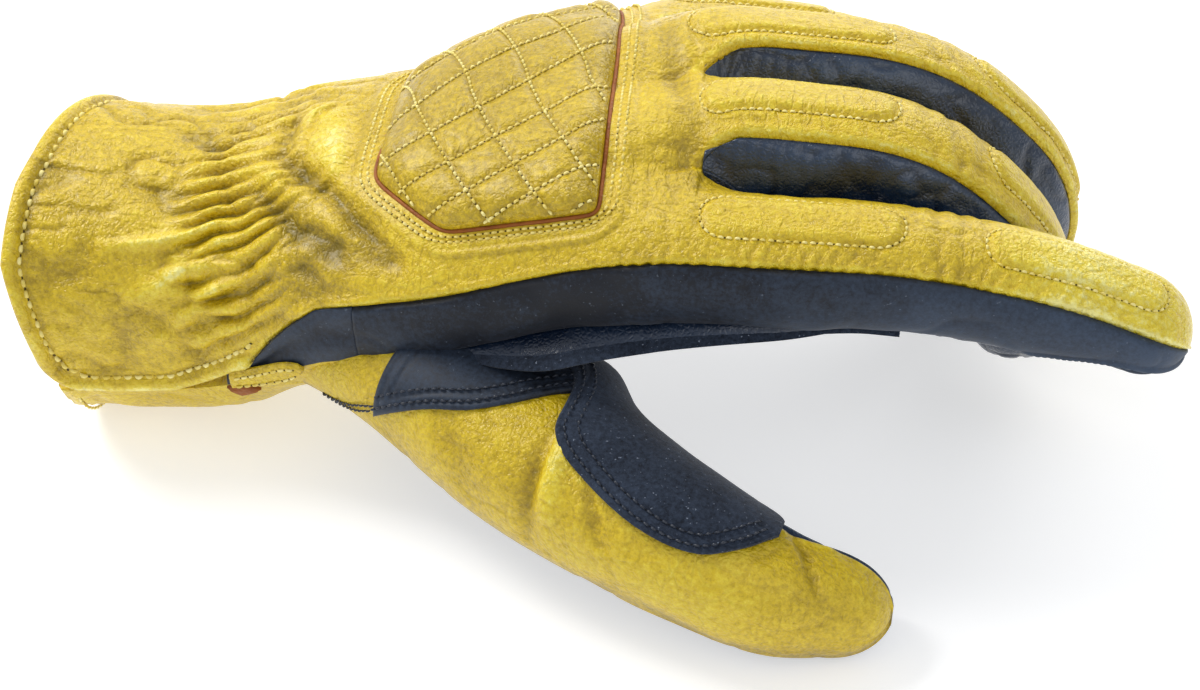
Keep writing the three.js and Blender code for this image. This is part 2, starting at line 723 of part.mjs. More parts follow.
/** Height of the pad at u along and v across it. */
function padRise(u, v, x, row) {
  const across = (row.high - row.low) * Math.min(v, 1 - v) * rad(1) * 0.45 * handWidth;
  const along = Math.min(u, 1 - u) * (padEnd - padStart);
  const edge = Math.min(across, along);
  return lerp(padEdge, padHeight, smooth(edge / padShoulder) ** 0.7);
}

const pad = shell([{
  rows: steps(0, 1, 14),
  columns: steps(0, 1, 14),
  point: (u, v, level) => {
    const x = lerp(padStart, padEnd, u);
    const row = at(padColumns, padRows, x / bodyLength);
    const out = level ? padRise(u, v, x, row) : 0;
    return overBack(x, lerp(row.low, row.high, v), overlayClear + out);
  },
}], 1, 0);

/** The hand as one solid, grown by a clearance or shrunk to its cavity. */
function handSolid(inset, start) {
  const rings = steps(0, 1, 20).map((t) => {
    const ring = [];
    const pastFor = (w) => lerp(start - slitX(w), 0, t);
    for (let j = 0; j < 3; j += 1) ring.push(side(0, 1 - j / 3, pastFor(0), inset));
    for (let j = 0; j < 24; j += 1) ring.push(back(Math.floor(j / 6), (j % 6) / 6, pastFor(j / 6), inset));
    for (let j = 0; j < 3; j += 1) ring.push(side(1, j / 3, pastFor(4), inset));
    for (let j = 24; j > 0; j -= 1) {
      const i = Math.ceil(j / 6) - 1;
      ring.push(palm(i, j / 6 - i, pastFor(j / 6), inset));
    }
    return ring;
  });
  return solid(loft(rings));
}

/** Closed ring with a round section of n sides along a loop of points; up is the skin's normal. */
function cord(path, radius, n) {
  const m = path.length;
  const points = [];
  const index = [];
  path.forEach(({ point, up }, j) => {
    const along = path[(j + 1) % m].point.clone().sub(path[(j + m - 1) % m].point).normalize();
    const out = along.clone().cross(up).normalize();
    for (let c = 0; c < n; c += 1) {
      const a = 2 * Math.PI * c / n;
      points.push(point.clone().addScaledVector(out, radius * Math.cos(a))
        .addScaledVector(up, radius * Math.sin(a)));
      const next = ((j + 1) % m) * n;
      index.push(j * n + c, next + c, next + (c + 1) % n, j * n + c, next + (c + 1) % n, j * n + (c + 1) % n);
    }
  });
  return indexed(points, index);
}

// Piping round the pad, lying on the leather against the pad's edge
const pipingPath = [];
const padPerimeter = [
  [0, 0, 1, 0, 20], [1, 0, 1, 1, 20], [1, 1, 0, 1, 20], [0, 1, 0, 0, 8],
];
padPerimeter.forEach(([u0, v0, u1, v1, n]) => {
  for (let j = 0; j < n; j += 1) {
    const x = lerp(padStart, padEnd, lerp(u0, u1, j / n));
    const row = at(padColumns, padRows, x / bodyLength);
    const degrees = lerp(row.low, row.high, lerp(v0, v1, j / n));
    const point = overBack(x, degrees, overlayClear + seamGap + 0.1 + pipingRadius);
    const up = point.clone().sub(overBack(x, degrees, 0)).normalize();
    pipingPath.push({ point, up });
  }
});
const padMiddle = pipingPath.reduce((sum, { point }) => sum.add(point), V(0, 0, 0)).divideScalar(pipingPath.length);
const pipingOut = pipingPath.map(({ point, up }, j) => {
  const m = pipingPath.length;
  const along = pipingPath[(j + 1) % m].point.clone().sub(pipingPath[(j + m - 1) % m].point).normalize();
  const out = along.cross(up).normalize();
  return out.multiplyScalar(Math.sign(out.dot(point.clone().sub(padMiddle))));
});
pipingPath.forEach(({ point }, j) => point.addScaledVector(pipingOut[j], pipingRadius + 2 * seamGap));
const piping = cord(pipingPath, pipingRadius, 6);

// Suede on the palm, carried along the underside of the index finger
const patchInset = 0.06;
const palmPatchSkin = shell([0, 1, 2, 3].map((i) => ({
  rows: palmShares.slice(5),
  columns: steps(0, 1, 4).map((u) => clamp(u, i === 0 ? patchInset : 0, i === 3 ? 0.5 : 1)),
  point: (t, u, inset) => palm(i, u, palmPast(t, i + u), inset),
})).concat([{
  rows: tailShares.slice(0, 3),
  columns: steps(0, 1, 4).map((u) => clamp(u, patchInset, 1)),
  point: (r, u, inset) => {
    const past = pastAt(r, spanOf(0, u));
    return palm(0, Math.min(u, 1 - patchInset * smooth((past - crotchDepth) / 4)), past, inset);
  },
}]), -seamGap - suede, -seamGap);

// Strap end of the cuff, sewn down over the wrist beside the gusset
const strapColumns = ['t', 'half'];
const strapRows = [[0, 5.5], [0.7, 6], [0.9, 4.5], [1, 1.5]];
const strapStart = -0.450 * bodyLength;
const strap = shell([{
  rows: [0, 0.35, 0.7, 0.8, 0.9, 1],
  columns: steps(-1, 1, 4),
  point: (t, v, inset) => hand(strapStart + strapLength * t, -15 - 4 * t
    + v * at(strapColumns, strapRows, t).half, inset),
}], -seamGap - leather, -seamGap);

// Small tab of folded leather under the hem's edge
const tabStart = -0.520 * bodyLength;
const tab = wristPanel(steps(tabStart, tabStart + tabLength, 3), steps(0, 1, 3), () => [-18, -28],
  -seamGap - tabThickness, -seamGap);

/** The thumb as one solid. */
function thumbSolid(inset) {
  return solid(loft(thumbRowsAt.map((l) => steps(0, 345, 23).map((degrees) => thumb(l, degrees, inset)))));
}

const handBody = handSolid(-seamGap, -0.9 * bodyLength);
const thumbHole = thumbSolid(leather);

const heelCut = solid(heelRegion(seamGap / 2, -0.4, leather + 0.6));
const thumbTop = solid(thumbPanel(thumbSeamLow, thumbSeamTop, 10)).subtract(handBody).subtract(heelCut);
const thumbUnder = solid(thumbPanel(thumbSeamTop, 360 + thumbSeamLow, 9)).subtract(handBody);

add('back_shell', backSkin, yellow);
['fourchette_index_middle', 'fourchette_middle_ring', 'fourchette_ring_little'].forEach((name, k) => {
  add(name, fourchette(k), black);
});
add('little_side', sideBand(1), black);
add('index_side', geometryOf(solid(sideBand(0)).subtract(thumbHole)), black);
add('palm', geometryOf(solid(palmSkin).subtract(thumbHole)), black);
add('heel_panel', geometryOf(solid(heelRegion(-seamGap / 2, 0, leather)).subtract(handBody)), black);
add('palm_cuff', geometryOf(solid(palmCuff).subtract(thumbHole)), yellow);
add('gusset', gusset, black);
add('thumb_shell', geometryOf(thumbTop), yellow);
add('thumb_inner', geometryOf(thumbUnder.subtract(heelCut)), black);
add('thumb_patch', geometryOf(solid(saddle).subtract(handBody)), suedeLook);
add('palm_patch', geometryOf(solid(palmPatchSkin).subtract(thumbSolid(-seamGap))), suedeLook);
add('knuckle_pad', pad, yellow);
add('pad_piping', piping, orange);
add('wrist_strap', strap, yellow);
add('side_tab', tab, orange);

export default glove;
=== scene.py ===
import bpy
import numpy as np
from mathutils import Matrix, Vector


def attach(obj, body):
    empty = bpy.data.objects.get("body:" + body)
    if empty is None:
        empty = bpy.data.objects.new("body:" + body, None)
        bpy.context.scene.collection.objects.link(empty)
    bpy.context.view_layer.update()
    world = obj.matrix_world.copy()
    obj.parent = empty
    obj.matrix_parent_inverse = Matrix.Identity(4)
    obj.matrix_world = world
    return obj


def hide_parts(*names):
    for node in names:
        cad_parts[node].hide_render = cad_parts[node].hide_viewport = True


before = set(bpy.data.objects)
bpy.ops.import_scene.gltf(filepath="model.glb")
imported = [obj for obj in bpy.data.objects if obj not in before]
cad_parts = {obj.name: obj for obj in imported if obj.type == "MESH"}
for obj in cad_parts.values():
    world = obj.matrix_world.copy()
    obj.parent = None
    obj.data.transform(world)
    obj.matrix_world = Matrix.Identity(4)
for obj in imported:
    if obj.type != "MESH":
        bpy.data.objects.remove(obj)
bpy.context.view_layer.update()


# Camera, floor and light
# The glove lies on a pale studio sweep, seen from the thumb side and from above. The camera looks at
# a point in the middle of the hand. Three soft lamps and a pale sky light it.
aim = Vector((0.098, 0.011, 0.0))
bearing, height, twist = np.radians([12.0, 42.0, 6.0])
towards = Vector((np.sin(bearing) * np.cos(height), -np.cos(bearing) * np.cos(height), np.sin(height)))
level = Vector((np.cos(bearing), np.sin(bearing), 0))
above = towards.cross(level)
right_way = level * np.cos(twist) - above * np.sin(twist)
up_way = above * np.cos(twist) + level * np.sin(twist)
camera = bpy.data.objects.new("camera", bpy.data.cameras.new("camera"))
turned = Matrix((right_way, up_way, towards)).transposed().to_4x4()
camera.matrix_world = Matrix.Translation(aim + towards * 0.750) @ turned
camera.data.lens = 107.1
camera.data.sensor_width = 36.0
camera.data.clip_start, camera.data.clip_end = 0.01, 20
bpy.context.scene.collection.objects.link(camera)
bpy.context.scene.camera = camera


class Wire:
    """One output of a shader tree. Sums and products of wires and numbers add Math nodes."""

    def __init__(self, tree, socket=None):
        self.tree, self.socket = tree, socket

    def node(self, kind, settings=None, sockets=None, out=0):
        """Adds a shader node: its settings first (stops fill a ramp), then its sockets' values or links."""
        made = self.tree.nodes.new("ShaderNode" + kind)
        for name, value in (settings or {}).items():
            if name == "stops":
                ramp = made.color_ramp.elements
                while len(ramp) < len(value):
                    ramp.new(1.0)
                for stop, (place, colour) in zip(ramp, value):
                    stop.position, stop.color = place, colour
            else:
                setattr(made, name, value)
        for name, value in (sockets or {}).items():
            if isinstance(value, Wire):
                self.tree.links.new(value.socket, made.inputs[name])
            else:
                made.inputs[name].default_value = value
        return Wire(self.tree, made.outputs[out])

    def maths(self, operation, *values):
        """A sum, product or the like of wires and numbers."""
        return self.node("Math", {"operation": operation}, dict(enumerate(values)))

    def __add__(self, other):
        return self.maths("ADD", self, other)

    def __radd__(self, other):
        return self.maths("ADD", other, self)

    def __sub__(self, other):
        return self.maths("SUBTRACT", self, other)

    def __rsub__(self, other):
        return self.maths("SUBTRACT", other, self)

    def __mul__(self, other):
        return self.maths("MULTIPLY", self, other)

    def __rmul__(self, other):
        return self.maths("MULTIPLY", other, self)

    def between(self, low, high):
        """Smooth step of this wire from 0 at low to 1 at high."""
        return self.node("MapRange", {"interpolation_type": "SMOOTHSTEP"},
                         {"Value": self, "From Min": low, "From Max": high})

    def blend(self, a, b):
        """Colour a where this wire is 0 and colour b where it is 1."""
        return self.node("Mix", {"data_type": "RGBA"}, {0: self, 6: a, 7: b}, 2)

    def place(self):
        """Place on the piece in metres, from its Object coordinates."""
        return self.node("TexCoord", out=3)

    def worn(self):
        """The mesh's shade-and-wear attribute: mostly the relief, so ridges are painted pale as painted
        highlight and folds dark as painted shade, with some wear; above 0 it is pale, below 0 dark.
        """
        return self.node("Attribute", {"attribute_name": "worn"}, out=2)

    def noise(self, place, scale, detail=2.0, roughness=0.5):
        """Cloudy noise round 0.5, with scale lumps to a metre."""
        return self.node("TexNoise", None, {"Vector": place, "Scale": scale, "Detail": detail,
                                            "Roughness": roughness})

    def bump(self, height, strength, distance):
        """A surface direction that follows a height."""
        return self.node("Bump", None, {"Height": height, "Strength": strength, "Distance": distance})


def finish(name, build, constants):
    """A material: build gives the links of the Principled shader, constants its fixed sockets."""
    material = bpy.data.materials.new(name)
    material.use_nodes = True
    tree = material.node_tree
    shader = tree.nodes["Principled BSDF"]
    for socket, value in constants.items():
        shader.inputs[socket].default_value = value
    for socket, wire in build(Wire(tree)).items():
        tree.links.new(wire.socket, shader.inputs[socket])
    return material


def paper(wire):
    """Pale paper: a faint cloud of grey over near white."""
    place = wire.place()
    cloud = wire.noise(place, 3.0, 2.0)
    return {"Base Color": cloud.blend((0.69, 0.69, 0.69, 1), (0.73, 0.73, 0.73, 1))}


sweep = bpy.data.meshes.new("floor")
sweep.from_pydata([(-3, -3, -1e-4), (3, -3, -1e-4), (3, 3, -1e-4), (-3, 3, -1e-4)], [], [(0, 1, 2, 3)])
floor = bpy.data.objects.new("floor", sweep)
bpy.context.scene.collection.objects.link(floor)
pale_paper = finish("pale_paper", paper, {"Roughness": 0.9, "Specular IOR Level": 0.1,
                                          "Emission Color": (1, 1, 1, 1), "Emission Strength": 0.50})
sweep.materials.append(pale_paper)

for name, place, size, power, colour in [
        ("key", (-0.50, 0.30, 0.75), 0.42, 7.8, (1.0, 0.985, 0.96)),
        ("fill", (0.65, -0.65, 0.85), 0.8, 2.5, (0.95, 0.97, 1.0)),
        ("rim", (0.30, 0.95, 0.50), 0.7, 5.0, (1.0, 1.0, 1.0))]:
    lamp = bpy.data.lights.new(name, "AREA")
    lamp.size, lamp.energy, lamp.color = size, power, colour
    light = bpy.data.objects.new(name, lamp)
    light.location = place
    light.rotation_euler = (aim - Vector(place)).to_track_quat("-Z", "Y").to_euler()
    bpy.context.scene.collection.objects.link(light)
sky = bpy.data.worlds.new("studio")
sky.use_nodes = True
sky.node_tree.nodes["Background"].inputs[0].default_value = (0.95, 0.97, 1.0, 1)
sky.node_tree.nodes["Background"].inputs[1].default_value = 0.52
bpy.context.scene.world = sky
bpy.context.scene.view_settings.view_transform = "Standard"


# Back of the glove
# One hide of golden cowhide runs from the turned hem to four fingertips. It is gathered at the wrist
# by elastic, creased by wear, and has stitched pads on the fingers and a sewn band for the knuckle pad.

# Millimetres in which the hand's length, width, height and depth are measured, and a finger's width and depth
hand_long, hand_wide, hand_tall, hand_deep = 140, 92, 58, 44
finger_wide, finger_deep = 24, 23
# Millimetres from the frame's origin to the middle of the hand, from which all shapes are worked out.
hand_middle = (98.0, 11.0, 0.0)
# Sections of the hand: place along, axis across and up, half width, rise, drop, and the roll in degrees.
hand_rows = np.array([
    [-0.886, -0.098, 0.534, 0.326, 0.636, 0.727, 4], [-0.714, -0.098, 0.517, 0.337, 0.636, 0.705, 4],
    [-0.514, -0.098, 0.545, 0.337, 0.591, 0.715, 2], [-0.343, -0.109, 0.690, 0.391, 0.545, 0.568, -2],
    [-0.157, -0.120, 0.795, 0.428, 0.500, 0.485, -5], [0.057, -0.109, 0.905, 0.462, 0.465, 0.420, -9],
    [0.286, -0.109, 0.980, 0.487, 0.450, 0.409, -7], [0.500, -0.109, 0.966, 0.511, 0.455, 0.432, 0]])
# Seam angles round the hand: place along, thumb side's top seam, far top seam, thumb side's palm seam.
seam_rows = np.array([
    [-0.886, -15, 172, -16], [-0.571, -15, 172, -16], [-0.443, -6, 172, -16], [-0.329, 12, 170, -14],
    [-0.143, 12, 170, -19], [0.143, 13, 168, -28], [0.321, 21, 168, -28]])
top_angles = [24, 66, 93, 119, 168]
slit_ends = hand_long * np.array([0.207, 0.207, 0.186, 0.107, 0.057])
hem_line = hand_long * np.array([-0.757, -0.803, -0.795, -0.764, -0.700])
# Fingers: root along, across and up; half widths and half depths at root, middle and tip; yaw, pitch,
# two bends and roll; seam angles on the thumb side, the far side and the palm; length in millimetres.
yaw_at, pitch_at, bend_at, tip_bend_at, roll_at, near_seam, far_seam, palm_seam, length = range(9, 18)
finger_rows = [
    [0.200, -0.446, 1.060, 0.515, 0.480, 0.438, 0.510, 0.465, 0.425, 2, 3, 12, 12, 8, 42, 17, -38, 97],
    [0.200, -0.163, 1.190, 0.520, 0.490, 0.417, 0.522, 0.500, 0.435, 1, 6, 43, 41, -2, 44, 12, -38, 94],
    [0.157, 0.108, 1.172, 0.475, 0.455, 0.396, 0.500, 0.478, 0.413, 2, 6, 42, 60, -14, 47, 24, -38, 108],
    [0.086, 0.354, 0.950, 0.440, 0.417, 0.375, 0.478, 0.435, 0.391, 4, 8, 37, 56, -30, 44, 20, -38, 96]]


def smooth(t):
    """Smooth step: 3 t squared minus 2 t cubed between 0 and 1, and level outside."""
    t = np.clip(t, 0, 1)
    return t * t * (3 - 2 * t)


def bell(t):
    """1 at t = 0, and e to the power of minus t squared beside it."""
    return np.exp(-t ** 2)


def rolled(t):
    """Quarter of a circle: it rises upright from 0 at t = 0, and is level at 1 from t = 1."""
    return np.sqrt(np.clip(1 - np.clip(1 - t, 0, 1) ** 2, 0, 1))


def mix(a, b, t):
    """a at t = 0 and b at t = 1, in a straight line."""
    return a + (b - a) * t


def straight(rows, key):
    """Columns of a table at key, in straight lines between its rows."""
    return [np.interp(key, rows[:, 0], column) for column in rows.T[1:]]


def flowing(rows, key):
    """Columns of a table at key, on a cubic between rows whose slopes join the neighbouring rows."""
    x = rows[:, 0]
    before, after = np.maximum(np.arange(len(x)) - 1, 0), np.minimum(np.arange(len(x)) + 1, len(x) - 1)
    k = np.clip(np.searchsorted(x, key) - 1, 0, len(x) - 2)
    h = x[k + 1] - x[k]
    t = (key - x[k]) / h
    s = 1 - t
    out = []
    for column in rows.T[1:]:
        slope = (column[after] - column[before]) / (x[after] - x[before])
        out.append((1 + 2 * t) * s * s * column[k] + t * s * s * h * slope[k]
                   + t * t * (3 - 2 * t) * column[k + 1] - t * t * s * h * slope[k + 1])
    return out


def across(values, w):
    """Value at w between five entries: 0 is the thumb side's, 4 the far side's."""
    return np.interp(w, range(5), values)


def seams_at(x):
    """Angles round the hand at x of the thumb side's top seam, the far top seam and the palm's seam."""
    return straight(seam_rows, x / hand_long)


def unit(v):
    """The directions of v, each of length 1."""
    return v / np.linalg.norm(v, axis=-1, keepdims=True)


def rounded(degrees, wide, top, bottom, power=2.3):
    """Rounded box section: cosine and sine, each to the power 2 / power, times half width and height."""
    c, s = np.cos(np.radians(degrees)), np.sin(np.radians(degrees))
    return (np.sign(c) * np.abs(c) ** (2 / power) * wide,
            np.sign(s) * np.abs(s) ** (2 / power) * np.where(s > 0, top, bottom))


def lying(points, inset):
    """Leather that would dip below the table lies flat on it."""
    points[..., 2] = np.maximum(points[..., 2], np.maximum(inset, 0))
    return points


def hand(x, degrees, inset=0.0):
    """Skin of the hand: a rounded section at x, rolled about its axis, moved in by inset."""
    y, z, half, rise, drop, roll = flowing(hand_rows, x / hand_long)
    b, n = rounded(degrees, half * hand_wide - inset, rise * hand_deep - inset, drop * hand_deep - inset)
    c, s = np.cos(np.radians(roll)), np.sin(np.radians(roll))
    y, z = y * hand_wide - b * c - n * s, z * hand_tall + n * c - b * s
    return lying(np.stack(np.broadcast_arrays(x + 0 * b, y, z), -1), inset)


def spine(row):
    """Running sums of cos and sin of a finger's bend angle: its pitch, then two smooth bends."""
    s = np.linspace(0, 1, 201)
    angle = row[pitch_at] + row[bend_at] * smooth((s - 0.25) / 0.35)
    angle = np.radians(angle + row[tip_bend_at] * smooth((s - 0.58) / 0.3))
    step = row[length] / 200
    ahead = np.concatenate([[0], np.cumsum(step * (np.cos(angle[1:]) + np.cos(angle[:-1])) / 2)])
    down = np.concatenate([[0], np.cumsum(step * (np.sin(angle[1:]) + np.sin(angle[:-1])) / 2)])
    return s * row[length], angle, ahead, down


spines = [spine(row) for row in finger_rows]


def finger(i, l, degrees, inset=0.0):
    """Skin of finger i at length l from its root: a rounded section square to the bent spine, its size
    in straight lines between root, middle and tip, drawn to a point over the last part of the tip."""
    row = finger_rows[i]
    run, angles, ahead, down = spines[i]
    a = np.interp(l, run, angles)
    forward = np.interp(l, run, ahead) + np.minimum(l, 0) * np.cos(a)
    fall = np.interp(l, run, down) + np.minimum(l, 0) * np.sin(a)
    yaw, roll = np.radians(row[yaw_at]), np.radians(row[roll_at])
    zero = 0 * a
    side = np.stack([zero + np.sin(yaw), zero - np.cos(yaw), zero], -1)
    normal = np.stack([np.sin(a) * np.cos(yaw), np.sin(a) * np.sin(yaw), np.cos(a)], -1)
    b = side * np.cos(roll) - normal * np.sin(roll)
    n = normal * np.cos(roll) + side * np.sin(roll)
    t = np.clip(l / row[length], 0, 1) * 2
    wide = np.interp(t, range(3), row[3:6]) * finger_wide - inset
    deep = np.interp(t, range(3), row[6:9]) * finger_deep - inset
    tip = row[5] * finger_wide * 1.15
    cap = np.sqrt(1 - np.clip((l - row[length] + tip) / (tip - inset), 0, 1) ** 2.3)
    u, v = rounded(degrees, wide * cap, deep * cap, deep * cap)
    root = np.array([row[0] * hand_long, row[1] * hand_wide, row[2] * hand_tall])
    centre = root + np.stack([forward * np.cos(yaw), forward * np.sin(yaw), -fall], -1)
    return lying(centre + b * u[..., None] + n * v[..., None], inset)


def slit_on(i, u):
    """Length along finger i at which the line through the slit ends crosses it."""
    row = finger_rows[i]
    yaw, pitch = np.radians(row[yaw_at]), np.radians(row[pitch_at])
    return (across(slit_ends, i + u) - row[0] * hand_long) / np.cos(yaw) / np.cos(pitch)


def on_finger(i, u, degrees, past, inset=0.0):
    """Skin of finger i, past millimetres beyond the line through the slit ends."""
    return finger(i, slit_on(i, u) + past, degrees, inset)


def share_of(angles, w):
    """Share of the way from the first to the last of five angles, at place w."""
    return (across(angles, w) - angles[0]) / (angles[4] - angles[0])


def top_angle(w, x):
    """Angle round the hand of place w across the back."""
    near, far, _ = seams_at(x)
    return mix(near, far, share_of(top_angles, w))


def top_on(i, u):
    """Angle round finger i of place u across its top."""
    return mix(finger_rows[i][near_seam], 180 - finger_rows[i][far_seam], u)


def closing(past):
    """How far two finger strips are still drawn together, past the end of their slit."""
    return 1 - np.sqrt(np.clip(past / 6, 0, 1))


def drawn_together(p, i, u, share, edge):
    """Moves the edge of a finger strip to the middle of the gap beside it, by its share."""
    if i < 3:
        p = p + (edge(i + 1, 0) - edge(i, 1)) * (0.5 * share * np.clip(2 * u - 1, 0, 1) ** 2)[..., None]
    if i > 0:
        p = p + (edge(i - 1, 1) - edge(i, 0)) * (0.5 * share * np.clip(1 - 2 * u, 0, 1) ** 2)[..., None]
    return p


def back(i, u, past, inset=0.0):
    """Back of the glove on finger strip i, u across it and past beyond the slits: the hand's skin,
    turning smoothly into the finger's over 44 mm."""
    edge = lambda j, v: on_finger(j, v, top_on(j, v), past, inset)
    p = drawn_together(on_finger(i, u, top_on(i, u), past, inset), i, u, closing(past), edge)
    x = across(slit_ends, i + u) + past
    return mix(hand(x, top_angle(i + u, x), inset), p, smooth((past + 30) / 44)[..., None])


def ripple(points, size, seed):
    """Smooth noise from -1 to 1 in space, its lumps about size across: random values at the corners of
    a cubic lattice, mixed by the smooth step of the place between them."""
    q = points / size + 17.31 * seed
    base = np.floor(q).astype(np.int64)
    f = q - base
    f = f * f * (3 - 2 * f)
    total = 0
    for corner in np.ndindex(2, 2, 2):
        c = base + corner
        h = ((c * (374761393, 668265263, 1103515245)).sum(-1) + seed * 12345) & 0xffffffff
        h = ((h ^ (h >> 13)) * 1274126177) & 0xffffffff
        total = total + (((h ^ (h >> 16)) & 0xffff) / 32767.5 - 1) * np.prod(np.where(corner, f, 1 - f), -1)
    return total


def creases(points, size, width, seed):
    """Thin meandering lines where a noise crosses zero: 1 on a line, falling off as a bell of width."""
    bent = points + size * 0.35 * np.stack([ripple(points, size * 0.7, seed + j) for j in (1, 2, 3)], -1)
    return bell(ripple(bent, size, seed) / width)


def folded(rows, a, b):
    """Folds from a table: each row has two ends in the plane of a and b, a depth and a width. A fold is
    a bell across the line between its ends, and it fades out towards them."""
    total = 0
    for a0, b0, a1, b1, depth, width in rows:
        run = np.clip(((a - a0) * (a1 - a0) + (b - b0) * (b1 - b0)) / ((a1 - a0) ** 2 + (b1 - b0) ** 2), 0, 1)
        away = np.hypot(a - mix(a0, a1, run), b - mix(b0, b1, run))
        total = total - depth * bell(away / width) * (0.3 + 0.7 * np.sin(np.pi * np.clip(run, 0.08, 0.92)))
    return total


def skin(name, patches, finishes, stride=3):
    """A closed skin from patches of points: an outer grid, an inner grid of which every third row and
    column is kept, whether the patch is turned round, its attribute of painted shade, painted highlight
    and wear, and for some patches the blocks to keep. Patches that share edge points are joined, and
    every open edge gets a rim."""
    outer, inner, worn, quads, low_quads, near = [], [], [], [], [], []
    count = low_count = 0
    for top, under, turned_round, shade_and_wear, *kept in patches:
        rows, columns = top.shape[:2]
        low = under[::stride, ::stride]
        ids = count + np.arange(rows * columns).reshape(rows, columns)
        low_ids = low_count + np.arange(low.shape[0] * low.shape[1]).reshape(low.shape[:2])
        count, low_count = count + ids.size, low_count + low_ids.size
        block = kept[0] if kept else np.ones((low.shape[0] - 1, low.shape[1] - 1), bool)
        for store, grid, used in ((quads, ids, np.repeat(np.repeat(block, stride, 0), stride, 1)),
                                  (low_quads, low_ids, block)):
            quad = np.stack([grid[:-1, :-1], grid[1:, :-1], grid[1:, 1:], grid[:-1, 1:]], -1)[used]
            store.append(quad[:, ::-1] if turned_round else quad)
        at_row = ((np.arange(rows) + stride / 2) // stride).astype(int)
        at_column = ((np.arange(columns) + stride / 2) // stride).astype(int)
        near.append(low_ids[at_row][:, at_column].ravel())
        outer.append(top.reshape(-1, 3))
        inner.append(low.reshape(-1, 3))
        worn.append(np.broadcast_to(shade_and_wear, (rows, columns)).ravel())
    outer, inner, worn, near = (np.concatenate(x) for x in (outer, inner, worn, near))
    quads, low_quads = np.concatenate(quads), np.concatenate(low_quads)

    def joined(points):
        _, first, back_to = np.unique(np.round(points * 2000).astype(np.int64), axis=0,
                                      return_index=True, return_inverse=True)
        return first, back_to.ravel()
    first, same = joined(outer)
    low_first, low_same = joined(inner)
    n = len(first)
    quads, near = same[quads], n + low_same[near][first]
    low_quads = n + low_same[low_quads]
    a, b = quads.ravel(), np.roll(quads, -1, 1).ravel()
    a, b = a[a != b], b[a != b]
    size = n + len(low_first)
    edge = ~np.isin(b * size + a, a * size + b)
    rim = np.stack([b[edge], a[edge], near[a[edge]], near[b[edge]]], -1)
    return cut_out(name, np.concatenate([outer[first], inner[low_first]]),
                   [(quads, True, 0), (low_quads[:, ::-1], True, 0), (rim, False, 0)],
                   np.concatenate([worn[first], np.zeros(len(low_first))]), finishes)


def cut_out(name, points, groups, worn, finishes):
    """A mesh object from points in millimetres and groups of four-cornered faces, smooth or flat, each
    in its own finish. A face with two corners in one place becomes a triangle."""
    corners, starts, smoothed, slots, total = [], [], [], [], 0
    for quads, round_shaded, slot in groups:
        keep = quads != np.roll(quads, -1, 1)
        sides = keep.sum(1)
        whole, three = quads[sides == 4], quads[sides == 3][keep[sides == 3]].reshape(-1, 3)
        for faces, k in ((whole, 4), (three, 3)):
            corners.append(faces.ravel())
            starts.append(total + k * np.arange(len(faces)))
            smoothed.append(np.full(len(faces), round_shaded))
            slots.append(np.full(len(faces), slot))
            total += faces.size
    corners, starts, smoothed, slots = (np.concatenate(x) for x in (corners, starts, smoothed, slots))
    used, index = np.unique(corners, return_inverse=True)
    mesh = bpy.data.meshes.new(name)
    mesh.vertices.add(len(used))
    mesh.vertices.foreach_set("co", ((points[used] + hand_middle) * 0.001).astype(np.float32).ravel())
    mesh.loops.add(total)
    mesh.loops.foreach_set("vertex_index", index.ravel().astype(np.int32))
    mesh.polygons.add(len(starts))
    mesh.polygons.foreach_set("loop_start", starts.astype(np.int32))
    mesh.polygons.foreach_set("use_smooth", smoothed)
    mesh.polygons.foreach_set("material_index", slots.astype(np.int32))
    mesh.update(calc_edges=True)
    mesh.validate()
    mesh.attributes.new("worn", "FLOAT", "POINT").data.foreach_set("value", worn[used].astype(np.float32))
    for material in finishes:
        mesh.materials.append(material)
    piece = bpy.data.objects.new(name, mesh)
    bpy.context.scene.collection.objects.link(piece)
    return piece


def dressed(piece, slot, *nodes):
    """The piece rides on the glove and replaces CAD nodes. The slot is not used."""
    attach(piece, "root")
    if nodes:
        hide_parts(*nodes)
    return piece


def sheet(name, slot, node, hide, *patches):
    """A piece of one hide or cloth, cut in patches and sewn together, in place of its CAD node."""
    return dressed(skin(name, patches, [hide]), slot, node)


def grained(wire, place, cell, stretch=(1, 1, 1)):
    """Pebbled grain: the distance to the walls of cells about cell metres across, bent by a noise."""
    noise = wire.node("TexNoise", None, {"Vector": place, "Scale": 0.4 / cell, "Detail": 2.0}, 1)
    bent = wire.node("VectorMath", {"operation": "MULTIPLY_ADD"}, {0: noise, 1: (cell,) * 3, 2: place})
    bent = wire.node("VectorMath", {"operation": "MULTIPLY"}, {0: bent, 1: stretch})
    walls = wire.node("TexVoronoi", {"feature": "DISTANCE_TO_EDGE"}, {"Vector": bent, "Scale": 1 / cell})
    return walls.between(0, 0.35)


